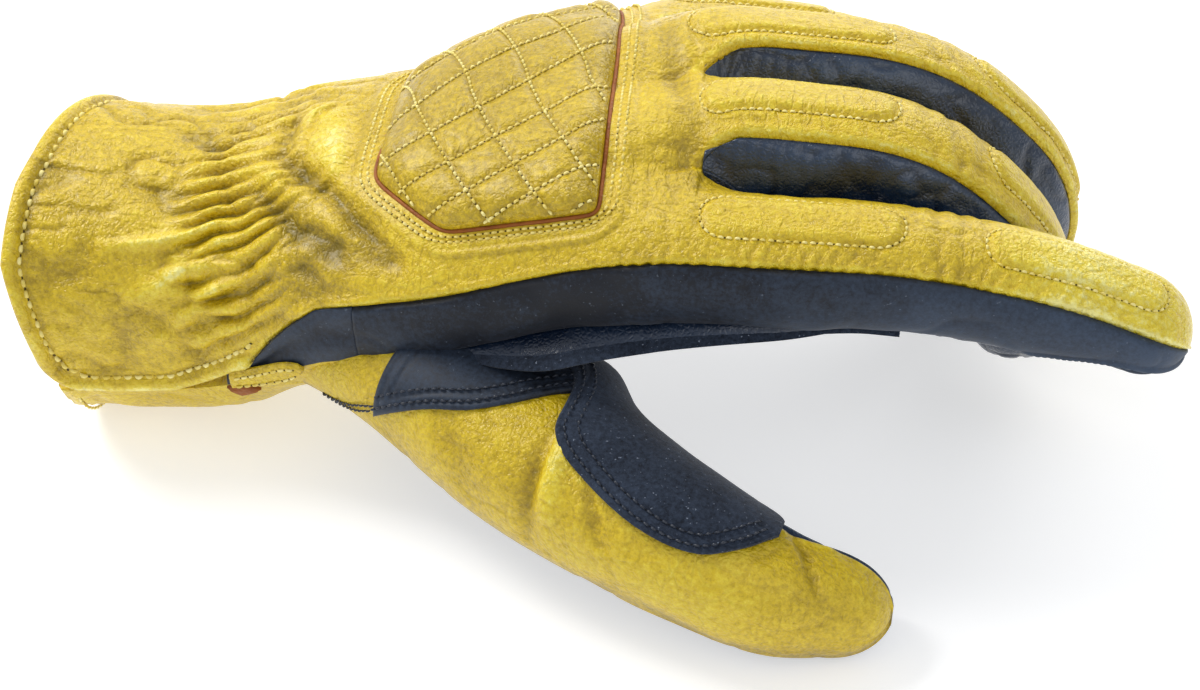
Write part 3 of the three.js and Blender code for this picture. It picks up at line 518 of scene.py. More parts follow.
def yellow_hide(wire):
    """Waxed golden cowhide: olive in its fine creases; from the mesh's relief, olive in the folds as painted
    shade and pale on ridges and stretched places, partly painted highlight and partly wear.
    """
    place = wire.place()
    clouds = wire.noise(place, 24.0)
    flecks = wire.noise(place, 800.0, 4.0, 0.65)
    grain = wire.noise(place, 1100.0, 3.0, 0.7)
    where = wire.noise(place, 70.0, 2.0).between(0.42, 0.62)
    pebbles = grained(wire, place, 0.0010)
    veins = grained(wire, place, 0.0022, (1.0, 0.4, 0.6))
    slashes = grained(wire, place, 0.0030, (0.4, 1.0, 0.6))
    lines = (1 - veins.between(0, 0.25)) * where + (1 - slashes.between(0, 0.2)) * (1 - where)
    # the mesh's shade-and-wear value: painted shade in folds and painted highlight on ridges, with some wear
    shade_and_wear = wire.node("MapRange", None, {"Value": wire.worn(), "From Min": -4, "From Max": 4,
                                        "To Min": -1, "To Max": 1})
    tone = (clouds - 0.5) * 0.4 + (flecks - 0.5) * 0.7 + (grain - 0.5) * 0.6 + shade_and_wear * 0.85 + 0.56
    colour = wire.node("ValToRGB", {"stops": [
        (0.0, (0.20, 0.140, 0.001, 1)), (0.3, (0.42, 0.285, 0.001, 1)), (0.56, (0.67, 0.470, 0.005, 1)),
        (0.8, (0.79, 0.625, 0.035, 1)), (1.0, (0.88, 0.80, 0.26, 1))]}, {"Fac": tone})
    colour = (lines * 0.16).blend(colour, (0.34, 0.20, 0.002, 1))
    height = pebbles * 0.45 - lines * 0.5 + flecks * 1.7 + grain * 0.6
    bump = wire.bump(height, 0.8, 0.00028)
    rough = (flecks - 0.5) * 0.5 + (clouds - 0.5) * 0.35 - shade_and_wear * 0.1 + 0.37
    return {"Base Color": colour, "Roughness": rough, "Normal": bump}


yellow_leather = finish("golden_cowhide", yellow_hide, {"Specular IOR Level": 0.5, "Coat IOR": 1.45,
                                                        "Coat Weight": 0.16, "Coat Roughness": 0.22})

# Millimetres across the back of one finger's strip.
strip_wide = 33
# Folds of the back: two ends (along and across), depth and width, all in millimetres.
back_folds = [
    [-58, 70, -46, 42, 2.4, 1.8], [-62, 60, -50, 26, 1.8, 1.7], [-46, 42, -29, 14, 2.8, 2.6],
    [-50, 26, -38, 12, 1.6, 2.2], [-56, 86, -57, 70, 1.6, 1.8], [-51, 80, -38, 33, -2.0, 4.2],
    [-52, 31, -41, 20, 1.6, 1.8], [-41, 20, -28, 11, 1.2, 2.5],
    [-40, 73, -36, 57, 1.4, 2.5], [-51, 20, -44, 7, 1.3, 1.8], [-80, 92, -71, 81, 1.8, 2.2],
    [-90, 43, -70, 47, -1.5, 2.8], [-84, 26, -67, 38, -1.7, 2.8], [-79, 14, -65, 28, -1.4, 2.6],
    [-70, 21, -61, 21, 1.2, 1.8], [-88, 70, -75, 58, 1.0, 4.0], [17, 80, 25, 44, 0.9, 2.3],
    [25, 44, 29, 25, 0.9, 2.3], [-30, 24, -12, 12, -0.9, 3.0], [-62, 66, -52, 44, -1.0, 2.4],
    [19, 62, 27, 58, 0.8, 1.2], [18, 66, 26, 68, 0.8, 1.2], [20, 30, 29, 33, 0.8, 1.2],
    [19, 38, 28, 35, 0.8, 1.2]]
# Stitched pads on the fingers: finger, where they start and end past the slits, and their two sides.
finger_pads = [(0, 1.0, 38.5, 0.24, 0.62), (0, 52.5, 87.0, 0.25, 0.62), (1, -0.8, 35.0, 0.25, 0.62),
               (1, 50.0, 84.0, 0.25, 0.62), (2, 0.0, 38.0, 0.17, 0.60), (2, 53.0, 83.0, 0.22, 0.62),
               (3, 2.0, 34.0, 0.25, 0.65)]
# Knuckle pad: place along, and its two sides in degrees round the hand.
pad_rows = np.array([[-0.250, 66, 108], [-0.138, 42, 142], [0.078, 37, 138]])
# Millimetres to a radian in the flat measure, in which the pad's outline is drawn.
flat_radius = 41.4


def place_across(x, degrees):
    """Place across the back of an angle round the hand at x."""
    near, far, _ = seams_at(x)
    first, last = top_angles[0], top_angles[4]
    return np.interp(first + (last - first) * (degrees - near) / (far - near), top_angles, range(5))


def over_back(x, degrees, out=0.0):
    """Point over the back at x and an angle round the hand, out millimetres above the bare skin."""
    w = place_across(x, degrees)
    x, w, out = np.broadcast_arrays(x, w, out)
    points = np.zeros(w.shape + (3,))
    for i in range(4):
        on = np.clip(w.astype(int), 0, 3) == i
        points[on] = back(i, w[on] - i, x[on] - across(slit_ends, w[on]), -out[on])
    return points


def pad_place(u, v):
    """Place along the glove and angle round it, at u along the knuckle pad and v across it. Its edge
    towards the fingers runs back by up to 7.5 mm on the far side."""
    x = mix(pad_rows[0, 0] * hand_long, pad_rows[-1, 0] * hand_long - 7.5 * v * v, u)
    low, high = straight(pad_rows, x / hand_long)
    return x, mix(low, high, v)


def moved_out(path, by, times):
    """A closed flat path moved sideways, away from its middle, and smoothed at its corners."""
    along = np.roll(path, -2, 0) - np.roll(path, 2, 0)
    aside = unit(np.stack([along[:, 1], -along[:, 0]], -1))
    aside *= np.sign((aside * (path - path.mean(0))).sum(1, keepdims=True))
    path = path + aside * by
    for _ in range(times):
        path = (np.roll(path, 1, 0) + 2 * path + np.roll(path, -1, 0)) / 4
    return path


def flat_place(points):
    """Place along and angle round the hand of points in the flat measure."""
    return points[..., 0], np.degrees(points[..., 1] / flat_radius) + 90


pad_sides = [(0, 0, 1, 0, 90), (1, 0, 1, 1, 100), (1, 1, 0, 1, 90), (0, 1, 0, 0, 40)]
u = np.concatenate([np.linspace(a, c, n, endpoint=False) for a, b, c, d, n in pad_sides])
v = np.concatenate([np.linspace(b, d, n, endpoint=False) for a, b, c, d, n in pad_sides])
x, degrees = pad_place(u, v)
pad_outline = moved_out(np.stack([x, np.radians(degrees - 90) * flat_radius], -1), 0, 14)
pad_edge = over_back(*flat_place(pad_outline))


def distance_to(points, line):
    """Shortest distance from each point to the points of a line, in blocks of a thousand points."""
    flat = points.reshape(-1, points.shape[-1])
    parts = [np.linalg.norm(block[:, None] - line[None], axis=-1).min(1)
             for block in np.array_split(flat, len(flat) // 1000 + 1)]
    return np.concatenate(parts).reshape(points.shape[:-1])


def oblong(i, past, u):
    """Distance inwards from the outline of each stitched finger pad, whose ends are half circles."""
    inwards = np.full(past.shape, -9.0)
    for finger_number, start, end, low, high in finger_pads:
        if finger_number == i:
            r = (high - low) * 13
            a = np.abs(past - (start + end) / 2) - (end - start) / 2 + r
            b = np.abs(u - (low + high) / 2) * 26
            inwards = np.maximum(inwards, r - np.hypot(np.maximum(a, 0), b))
    return inwards


def hem_at(w):
    """Place of the cuff's edge: its corner at the thumb side's seam is cut round, 9 mm in radius."""
    return across(hem_line, w) + 9 * (1 - rolled(w * strip_wide / 9))


def back_relief(i, u, past, p):
    """Millimetres outwards from the bare skin at p, for gathers, folds, creases, stitched pads and seams,
    and the shade-and-wear value for the colour: above 0 pale, below 0 dark, mostly painted highlight on
    ridges and painted shade in folds, with some wear."""
    w, x = i + u, across(slit_ends, i + u) + past
    s = x / hand_long
    from_seam = np.minimum(w, 4 - w) * strip_wide
    edge = smooth(from_seam / 8)
    gathered = smooth((s + 0.58) / 0.08) * smooth((-0.345 - s) / 0.085) * edge
    wander = 0.42 * ripple(p, 13, 1) + 0.16 * ripple(p, 5, 2)
    pleats = np.abs(np.sin(np.pi * (4.7 * w + wander))) - 0.62
    out = 2.5 * gathered * (0.75 + 0.5 * ripple(p, 12, 3)) * pleats
    out = out + folded(back_folds, x, strip_wide * w) * edge
    wrist = smooth((-0.18 - s) / 0.2)
    broad = (0.7 * wrist + 0.2) * ripple(p, 19, 4)
    out = out + broad + (0.22 * wrist + 0.06) * ripple(p, 7, 5)
    out = out - (0.5 * wrist + 0.22) * creases(p, 13, 0.09, 11)
    out = out - (0.35 * wrist + 0.12) * creases(p * (0.5, 1, 1), 5, 0.14, 21)
    # short wrinkles square to the thumb side's seam, and across the knuckle joints
    pull = bell(w * strip_wide / 7.5) * smooth((x + 5) / 25) * smooth((125 - x) / 30)
    slant = x - 0.35 * w * strip_wide + 1.2 * ripple(p, 7, 6)
    out = out - 0.7 * pull * np.abs(np.cos(np.pi * slant / 2.6)) ** 2 * (0.6 + 0.5 * ripple(p, 6, 7))
    joint = bell((past - 45) / 6.5) + 0.7 * bell((past + 6) / 7)
    out = out - 0.45 * joint * np.abs(np.cos(np.pi * (past + 1.5 * ripple(p, 6, 8)) / 4.4)) ** 3
    # the relief, less its broad swell, is the colour's value: ridges painted pale as painted highlight, folds
    # dark as painted shade
    shade_and_wear = out - broad
    # stitched pads
    inwards = oblong(i, past, u)
    out = out * (1 - 0.7 * smooth(inwards / 1.5)) + 0.55 * smooth((inwards + 0.3) / 2.2)
    out = out - 0.35 * bell(inwards / 0.7)
    # a painted highlight along the raised rim just inside each pad's stitches
    shade_and_wear = shade_and_wear * (1 - smooth(inwards / 1.5)) + 0.25 * bell((inwards - 2.0) / 1.2)
    # the band sewn down round the knuckle pad
    d = distance_to(p, pad_edge)
    band = 1 - smooth((d - 4.8) / 0.9)
    flat = 1 - smooth((d - 5) / 5)
    # painted shade at the foot of the sewn band, and less relief shading on the band itself
    shade_and_wear = shade_and_wear * (1 - 0.85 * flat) - 0.6 * bell((d - 5.8) / 0.8) * smooth((7 - d) / 2)
    sewn_lines = bell((d - 2.3) / 0.45) + bell((d - 3.8) / 0.45)
    out = out * (1 - 0.85 * flat) + 0.7 * band - 0.3 * sewn_lines * flat
    # turned edges along the seams and the slits
    near_edge = np.minimum(u, 1 - u) * 27 if 0 < i < 3 else (u * 27 if i == 3 else (1 - u) * 27)
    free = np.where(past > 0, near_edge, np.hypot(near_edge, past))
    out = out - 0.7 * bell(from_seam / 0.9) + 0.35 * bell((from_seam - 2.4) / 1.5)
    turned = 0.45 * bell((free - 2.2) / 1.3) - 0.55 * bell(free / 0.8)
    out = out + turned * (past > -3)
    # turned hem
    hem = x - hem_at(w)
    low = np.where(w < 2, w * strip_wide, 99) + 9 * smooth((x + 66) / 12)
    hem = np.minimum(hem, low)
    out = out * smooth((hem - 2.5) / 4) + 0.9 * (rolled(hem / 1.2) - 1)
    out = out + 1.3 * np.sqrt(np.clip(1 - ((hem - 1.6) / 1.9) ** 2, 0, 1)) - 0.35 * bell((hem - 3.9) / 0.5)
    # painted highlights along the turned edges of the slits and the seams
    pale = 1.3 * bell((free - 1.6) / 0.7) * (past > -2) + 0.9 * bell((from_seam - 1.4) / 0.8)
    # painted highlight on the top of the index finger towards its tip
    if i == 0:
        shade_and_wear = shade_and_wear + 1.3 * smooth((past - 46) / 26)
    # painted shade just inside the hem's stitches and a painted highlight on its rolled bead
    shade_and_wear = shade_and_wear + pale - 0.9 * bell((hem - 4.6) / 0.6) + 0.9 * bell((hem - 1.6) / 1.2)
    return np.clip(out, -3.4, 2.8), shade_and_wear


def back_row(i, u, past):
    """Skin of the back with its relief, the relief itself, and how worn each point is."""
    out, shade_and_wear = back_relief(i, u, past, back(i, u, past))
    return back(i, u, past, -out), out, shade_and_wear


def lowest(out):
    """The lowest relief within four grid steps of each point, so that the hide's inner face stays inside."""
    for axis in (0, 1):
        ends = [(4, 4) if a == axis else (0, 0) for a in (0, 1)]
        grown = np.pad(out, ends, mode="edge")
        n = out.shape[axis]
        out = np.minimum.reduce([np.take(grown, range(j, j + n), axis) for j in range(9)])
    return np.minimum(out, 0)


patches = []
for i in range(4):
    u, t = np.meshgrid(np.linspace(0, 1, 58), np.linspace(-1, 1, 331))
    hem = hem_at(i + u) - across(slit_ends, i + u)
    tip = finger_rows[i][length] - slit_on(i, u)
    past = np.where(t < 0, hem * np.interp(-t, [0, 0.94, 1], [0, 0.965, 1]),
                    tip * np.where(t < 0.2, 3 * t * t, np.interp(t, [0.2, 0.85, 1], [0.12, 0.88, 1])))
    grid, out, shade_and_wear = back_row(i, u, past)
    thick = 1.2 + smooth(2 - (past - hem) / 4)
    patches.append((grid, back(i, u, past, thick - lowest(out)), False, shade_and_wear))
sheet("back_leather", "yellow_leather", "back_shell", yellow_leather, *patches)


# Walls between the fingers
# Fourchettes of soft black sheepskin fill the three slits: each is folded under the web and runs out
# along both fingers. The skin is crumpled near the web and smooth further out.
crotch = 24.0
palm_angles = [-28, -62, -90, -118, -156]


def palm_angle(w, x):
    """Angle round the hand of place w across the palm."""
    _, _, near = seams_at(x)
    return mix(near, palm_angles[4], share_of(palm_angles, w))


def low_on(i, u):
    """Angle round finger i of place u across its underside."""
    return mix(finger_rows[i][palm_seam], -180 - finger_rows[i][palm_seam], u)


def palm(i, u, past, inset=0.0):
    """Palm of the glove on finger strip i, on the same plan as the back."""
    below = past - crotch
    edge = lambda j, v: on_finger(j, v, low_on(j, v), past, inset)
    p = drawn_together(on_finger(i, u, low_on(i, u), past, inset), i, u, closing(below), edge)
    x = across(slit_ends, i + u) + past
    return mix(hand(x, palm_angle(i + u, x), inset), p, smooth((below + 26) / 36)[..., None])


def wall(k, far, q, past, inset=0.0):
    """Side wall between fingers k and k + 1, on the nearer (0) or the farther (1) of them: q runs from
    the back's edge down to the fold, and beyond the web to the palm's edge."""
    def on(who, r, l):
        row = finger_rows[k + who]
        seams = (row[near_seam], row[palm_seam]) if who else (180 - row[far_seam], 180 - row[palm_seam])
        return on_finger(k + who, 1 - who, mix(*seams, r), l, inset)

    def nearer(who, r, l, share):
        """The step from one wall towards the middle of the gap, by its share."""
        return (on(1 - who, r, l) - on(who, r, l)) * (share / 2)[..., None]

    def back_off(who):
        """The step from the wall's upper edge to the edge of the back."""
        raw = on(who, none, past) + nearer(who, none, past, closing(past))
        return back(k + who, 1.0 - who + none, past, inset) - raw

    none, start = 0 * past, np.maximum(past, crotch)
    reach = 0.12 + 0.88 * smooth(past / crotch) ** 0.8
    p = on(far, q * reach, past) + nearer(far, 0 * q, past, closing(past) * (1 - q) ** 2)
    p = p + nearer(far, reach, past, closing(past - crotch) * q * q)
    raw = on(far, 1 + none, start) + nearer(far, 1 + none, start, closing(start - crotch))
    low_off = palm(k + far, 1.0 - far + none, start, inset) - raw
    near = smooth(past / crotch)[..., None]
    fold_off = (back_off(0) + back_off(1)) * 0.5 * (1 - near) + low_off * near
    return p + back_off(far) * ((1 - q) ** 2)[..., None] + fold_off * (q * q)[..., None]


def black_hide(wire):
    """Navy-black aniline skin: fine pebbles, a few wrinkles and a soft sheen."""
    place = wire.place()
    clouds = wire.noise(place, 60.0, 4.0)
    pebbles = grained(wire, place, 0.0009)
    veins = grained(wire, place, 0.0035, (1.0, 0.6, 0.8))
    # the mesh's shade-and-wear value paints creases darker as painted shade and ridges lighter as painted
    # highlight
    tone = (clouds - 0.5) * 1.2 + wire.worn() * 0.7 + 0.45
    colour = tone.blend((0.002, 0.008, 0.024, 1), (0.024, 0.052, 0.110, 1))
    bump = wire.bump(pebbles * 0.6 + veins * 0.8, 0.5, 0.00025)
    return {"Base Color": colour, "Roughness": (clouds - 0.5) * 0.3 + 0.30, "Normal": bump}


black_leather = finish("navy_sheepskin", black_hide, {"Specular IOR Level": 0.55, "Coat Weight": 0.35,
                                                      "Coat Roughness": 0.2})
for k, name in enumerate(["index_middle", "middle_ring", "ring_little"]):
    patches = []
    for far in (0, 1):
        tip = finger_rows[k + far][length] - slit_on(k + far, 1 - far)
        q, t = np.meshgrid(np.linspace(0, 1, 25), np.linspace(0, 1, 166))
        spread = np.where(t < 0.15, 3.56 * t * t, np.interp(t, [0.15, 0.9, 1], [0.08, 0.93, 1]))
        past = mix(0.002, tip, spread)
        bare = wall(k, far, q, past)
        ends = smooth(q / 0.12) * smooth((1 - q) / 0.12)
        pleats = bell(past / 30) * np.abs(np.cos(np.pi * past / 2.6 + ripple(bare, 5, 33))) ** 3
        out = 0.45 * ripple(bare, 8, 31 + k) - 0.5 * creases(bare, 6, 0.2, 34 + k) - 0.3 * pleats
        out = ends * smooth(past / 3) * out
        sunk = 0.25 + 0.5 * bell(q / 0.05)
        # the relief is also the colour's shade-and-wear value: painted shade in creases and pleats, painted
        # highlight on ridges
        patches.append((wall(k, far, q, past, sunk - out), wall(k, far, q, past, 1.4 + sunk),
                        bool(far), out))
    sheet("wall_" + name, "black_leather", "fourchette_" + name, black_leather, *patches)


# Side bands
# A long band of matt black microfibre closes the thumb side of the hand and of the index finger, and
# another the far side. They are cut straight and sewn to the back's turned edge.
def side(end, q, past, inset=0.0):
    """Side band of the index finger (end 0) or the little finger (end 1), q from top to palm seam."""
    row = finger_rows[3 * end]
    top, low = (180 - row[far_seam], 180 - row[palm_seam]) if end else (row[near_seam], row[palm_seam])
    p = on_finger(3 * end, end, mix(top, low, q), past, inset)
    x = across(slit_ends, 4 * end) + past
    degrees = mix(top_angle(4 * end, x), palm_angle(4 * end, x) + 360 * end, q)
    share = mix(smooth((past + 30) / 44), smooth((past - crotch + 26) / 36), q)
    return mix(hand(x, degrees, inset), p, share[..., None])


def microfibre(wire):
    """Matt navy microfibre: a faint nap, short pale fibres that catch the light, and soft clouds."""
    place = wire.place()
    clouds = wire.noise(place, 55.0, 4.0)
    nap = wire.noise(place, 1000.0, 4.0, 0.75)
    specks = wire.noise(place, 1300.0, 1.0).between(0.73, 0.79)
    # the mesh's shade-and-wear value paints folds and seams darker as painted shade and ridges paler as
    # painted highlight
    tone = (clouds - 0.5) * 1.2 + (nap - 0.5) * 1.6 + wire.worn() * 0.3 + 0.42
    colour = tone.blend((0.001, 0.003, 0.009, 1), (0.036, 0.058, 0.100, 1))
    colour = (specks * 0.45).blend(colour, (0.13, 0.16, 0.21, 1))
    bump = wire.bump(nap + clouds * 0.4, 0.35, 0.00018)
    return {"Base Color": colour, "Roughness": (nap - 0.5) * 0.3 + 0.58, "Normal": bump}


band_cloth = finish("navy_microfibre", microfibre, {"Specular IOR Level": 0.35, "Sheen Weight": 0.06})
palm_start = -0.271 * hand_long


def tip_slack(past):
    """Millimetres by which the underside of the index finger's tip is sunk in."""
    return 2.4 * smooth((past - 64) / 20)


for end, name in enumerate(["index_side", "little_side"]):
    tip = finger_rows[3 * end][length] - slit_on(3 * end, end)
    q, t = np.meshgrid(np.linspace(0, 1, 37), np.linspace(0, 1, 301))
    past = mix(palm_start - slit_ends[4 * end], tip, np.interp(t, [0, 0.85, 1], [0, 0.88, 1]))
    bare = side(end, q, past)
    ends = smooth(q / 0.1) * smooth((1 - q) / 0.1)
    # towards the index finger's tip the cloth folds under along a slanting line. Its colour is painted paler
    # towards the tip as painted light on the curve, with a painted highlight on the fold's ridge and painted
    # shade in its crease and along the band's seams
    beyond = q - 1 + 0.5 * smooth((past - 60) / 30)
    fold = bell(beyond / 0.035) - 1.2 * bell((beyond - 0.09) / 0.045)
    fold = fold * smooth((past - 62) / 6) if end == 0 else 0
    # painted light: the index band darker near the wrist and paler towards its tip
    pale = mix(-1.1, 1.2, smooth((past + 20) / 100)) if end == 0 else -0.5
    out = 0.5 * ripple(bare, 16, 41 + end) + 0.35 * ripple(bare, 7, 43) - 0.22 * creases(bare, 9, 0.25, 44)
    out = ends * out - 0.7 * bell(np.minimum(q, 1 - q) / 0.035) + 0.8 * fold
    if end == 0:
        out = out - tip_slack(past) * q * q
    sheet(name + "_band", "black_leather", name, band_cloth,
          (side(end, q, past, -out), side(end, q, past, 2.2), bool(end), out + pale + fold))


# Palm and cuff
# The palm is one black hide from wrist to fingertips, and the cuff's underside is golden cowhide with
# a turned hem. Only their edges show in the photograph, so they have a plain finish.
def root_web(i, u, past):
    """The palm hangs 7 mm lower at the root of the thumb, and less and less towards the finger."""
    x = across(slit_ends, i + u) + past
    return 7.0 * bell((i + u) / 0.45) * smooth((x + 24) / 26) * np.clip((54 - x) / 50, 0, 1)


patches = []
for i in range(4):
    u, t = np.meshgrid(np.linspace(0, 1, 31), np.linspace(-1, 1, 241))
    begin = palm_start - across(slit_ends, i + u) - crotch
    tip = finger_rows[i][length] - slit_on(i, u) - crotch
    past = crotch + np.where(t < 0, -t * begin, tip * np.interp(t, [0, 0.85, 1], [0, 0.88, 1]))
    bare = palm(i, u, past)
    from_seam = np.minimum(i + u, 4 - i - u) * 30
    near_edge = np.where(past > crotch, np.minimum(u, 1 - u) * 25, 9)
    soft = smooth(from_seam / 5)
    out = 0.45 * ripple(bare, 15, 51) * soft - 0.35 * creases(bare, 9, 0.15, 52) * soft
    out = out - 0.5 * bell(np.minimum(from_seam, near_edge) / 0.9)
    out = out - 0.4 * bell((past - 45) / 6) * np.abs(np.cos(np.pi * past / 4.2)) ** 3
    low = root_web(i, u, past) * smooth((i + u) / 0.05) - (tip_slack(past) * (1 - u) if i == 0 else 0)
    # the relief is also the colour's shade-and-wear value: painted shade in the seams and creases
    patches.append((palm(i, u, past, -out - low), palm(i, u, past, 2.4), True, out))
sheet("palm_leather", "black_leather", "palm", black_leather, *patches)

cuff_start = across(hem_line, 0) + 1
x, v = np.meshgrid(np.linspace(cuff_start, palm_start, 91), np.linspace(0, 1, 181), indexing="ij")
_, far, near = seams_at(x)
degrees = mix(near, far - 360, v)
bare = hand(x, degrees)
hem = x - x[0, 0]
soft = smooth(np.minimum(v, 1 - v) / 0.04)
out = soft * (0.5 * ripple(bare, 15, 61) + 0.25 * ripple(bare, 7, 62) - 0.35 * creases(bare, 8, 0.16, 63))
out = out + 0.9 * (rolled(hem / 1.4) - 1) + 0.4 * (1 - smooth((hem - 4.2) / 1.4))
out = out - 0.3 * bell((hem - 3.6) / 0.5)
out = np.where(bare[..., 2] < 0.6, np.minimum(out, 0), out)
# the relief is also the colour's shade-and-wear value: a painted highlight on the hem's bead, painted shade
# at its edge, in the stitch groove and in creases
sheet("palm_side_cuff", "yellow_leather", "palm_cuff", yellow_leather,
      (hand(x, degrees, -out), hand(x, degrees, 2.4), True, out))

x, v = np.meshgrid(np.linspace(-0.49 * hand_long, palm_start, 46), np.linspace(0, 1, 31), indexing="ij")
near, _, low = seams_at(x)
degrees = mix(near, low, v)
bare = hand(x, degrees)
out = smooth(np.minimum(v, 1 - v) / 0.15) * (0.4 * ripple(bare, 7, 65) - 0.9 * bell((v - 0.45) / 0.2))
# the relief is also the colour's shade-and-wear value: painted shade along the fold down its middle
sheet("wrist_gusset", "black_leather", "gusset", band_cloth,
      (hand(x, degrees, -out), hand(x, degrees, 2.2), True, out))


# Thumb
# The thumb's outer half is golden cowhide and its inner half black hide, sewn to it on two long seams.
# Folds run from the saddle patch over the ball of the thumb, and short ones cross the tip.

# The thumb's spine: place along in shares of the hand, across, up, half width and half height.
thumb_rows = np.array([
    [-0.471, -0.300, 0.480, 0.180, 0.180], [-0.329, -0.370, 0.500, 0.275, 0.245],
    [-0.171, -0.488, 0.515, 0.430, 0.361], [-0.029, -0.620, 0.435, 0.472, 0.417],
    [0.100, -0.747, 0.378, 0.415, 0.390], [0.221, -0.838, 0.303, 0.365, 0.355],
    [0.329, -0.884, 0.222, 0.322, 0.316], [0.414, -0.876, 0.158, 0.264, 0.262],
    [0.486, -0.884, 0.142, 0.232, 0.236]])
# Millimetres in which the thumb's thickness is measured, those to a degree round it, and its drawn-in tip
thumb_thick, thumb_degree, thumb_tip = 36, 0.26, 12
thumb_x = np.linspace(thumb_rows[0, 0], thumb_rows[-1, 0], 201)
thumb_y, thumb_z, thumb_w, thumb_h = flowing(thumb_rows, thumb_x)
thumb_line = np.stack([thumb_x * hand_long, thumb_y * hand_wide, thumb_z * hand_tall], -1)
thumb_at = np.concatenate([[0], np.cumsum(np.linalg.norm(np.diff(thumb_line, axis=0), axis=1))])
thumb_run = thumb_at[-1]


def thumb(l, degrees, inset=0.0):
    """Skin of the thumb at length l along its spine, a rounded section square to it: 0 degrees faces
    out, 90 up and 180 the index finger. The last 12 mm are drawn to a point."""
    spot = lambda at: np.stack([np.interp(at, thumb_at, column) for column in thumb_line.T], -1)
    k = np.clip(np.searchsorted(thumb_at, l) - 1, 0, 199)
    tangent = unit(thumb_line[np.minimum(k + 9, 200)] - thumb_line[np.maximum(k - 8, 0)])
    out = unit(np.cross(tangent, [0, 0, 1]))
    up = np.cross(out, tangent)
    cap = np.sqrt(1 - np.clip((l - thumb_run + thumb_tip) / (thumb_tip - inset), 0, 1) ** 2.3)
    wide = (np.interp(l, thumb_at, thumb_w) * thumb_thick - inset) * cap
    high = (np.interp(l, thumb_at, thumb_h) * thumb_thick - inset) * cap
    u, v = rounded(degrees, wide, high, high, 2.2)
    return lying(spot(l) + out * u[..., None] + up * v[..., None], inset)


# Folds: two ends (along the spine, and in millimetres round it), depth and width.
thumb_folds = [[80, 28, 86, 6, -1.5, 2.6], [84, 26, 92, 12, -1.3, 2.1], [79, 22, 83, -2, 1.5, 1.6],
               [87, 20, 97, 6, 1.3, 1.6], [122, 38, 131, 24, 1.1, 1.4], [126, 40, 137, 28, -0.9, 2.0],
               [129, 26, 134, 12, 0.9, 1.3],
               [56, 14, 70, 0, 0.6, 3.0], [100, -4, 122, -10, 0.6, 4.0]]


def web(l, degrees):
    """The root of the thumb flares towards the palm: a bell 8 mm long about 72 mm along it, and 42
    degrees wide on the side that faces the index finger."""
    return 4.0 * bell((l - 72) / 8) * bell((degrees - 168) / 42)


def buried(points):
    """Blocks of a grid whose middle lies well inside the hand: the power sum of its section there."""
    middle = points[::3, ::3]
    middle = (middle[:-1, :-1] + middle[1:, 1:]) / 2
    y, z, half, rise, drop, roll = flowing(hand_rows, middle[..., 0] / hand_long)
    c, s = np.cos(np.radians(roll)), np.sin(np.radians(roll))
    dy, dz = middle[..., 1] - y * hand_wide, middle[..., 2] - z * hand_tall
    b, n = -(dy * c + dz * s), -dy * s + dz * c
    wide, deep = half * hand_wide - 1.6, np.where(n > 0, rise, drop) * hand_deep - 1.6
    return (np.abs(b) / wide) ** 2.3 + (np.abs(n) / deep) ** 2.3 < 1


for name, low, high, hide, slot, node in [
        ("thumb_outer", -50, 125, yellow_leather, "yellow_leather", "thumb_shell"),
        ("thumb_underside", 125, 310, black_leather, "black_leather", "thumb_inner")]:
    v, t = np.meshgrid(np.linspace(0, 1, 121), np.linspace(0, 1, 241))
    l = mix(0.05 * thumb_run, thumb_run, np.interp(t, [0, 0.85, 1], [0, 0.89, 1]))
    degrees = mix(low, high, v)
    bare = thumb(l, degrees)
    arc = np.radians(degrees) * 15
    from_seam = np.minimum(degrees - low, high - degrees) * thumb_degree
    out = 0.4 * ripple(bare, 17, 71) + 0.16 * ripple(bare, 8, 72) - 0.22 * creases(bare, 9, 0.13, 73)
    if low < 0:
        out = out + folded(thumb_folds, l, arc)
    out = out * smooth(from_seam / 3) - 0.6 * bell(from_seam / 0.8) + 0.3 * bell((from_seam - 2.2) / 1.2)
    out = np.where(bare[..., 2] < 0.6, np.minimum(out, 0), out) + web(l, degrees)
    # the relief gives painted shade in folds and painted highlight on ridges, and the side below 0 degrees,
    # facing down, is painted darker as painted shade
    shade_and_wear = out - web(l, degrees) - 1.6 * smooth(-degrees / 45)
    sheet(name, slot, node, hide,
          (thumb(l, degrees, -out), thumb(l, degrees, 2.2), False, shade_and_wear, ~buried(bare)))


# Heel panel and thumb saddle
# A black microfibre panel joins the thumb to the hand, and a speckled suede saddle is sewn over the
# thumb where the reins rub. Both lie on top, with raw edges and two rows of black stitches.
def suede(wire):
    """Speckled navy suede: a deep nap with many short grey fibres and paler rubbed patches."""
    place = wire.place()
    clouds = wire.noise(place, 70.0, 5.0)
    nap = wire.noise(place, 1000.0, 4.0, 0.8)
    specks = wire.noise(place, 1500.0, 2.0).between(0.68, 0.76)
    tone = clouds + (nap - 0.5) * 2.4
    colour = tone.blend((0.003, 0.006, 0.014, 1), (0.038, 0.054, 0.088, 1))
    colour = (specks * 0.9).blend(colour, (0.24, 0.28, 0.36, 1))
    bump = wire.bump(nap * 1.2 + clouds * 0.3, 0.6, 0.0003)
    return {"Base Color": colour, "Roughness": (nap - 0.5) * 0.2 + 0.85, "Normal": bump}


speckled_suede = finish("speckled_suede", suede, {"Specular IOR Level": 0.2, "Sheen Weight": 0.12,
                                                  "Sheen Roughness": 0.5})
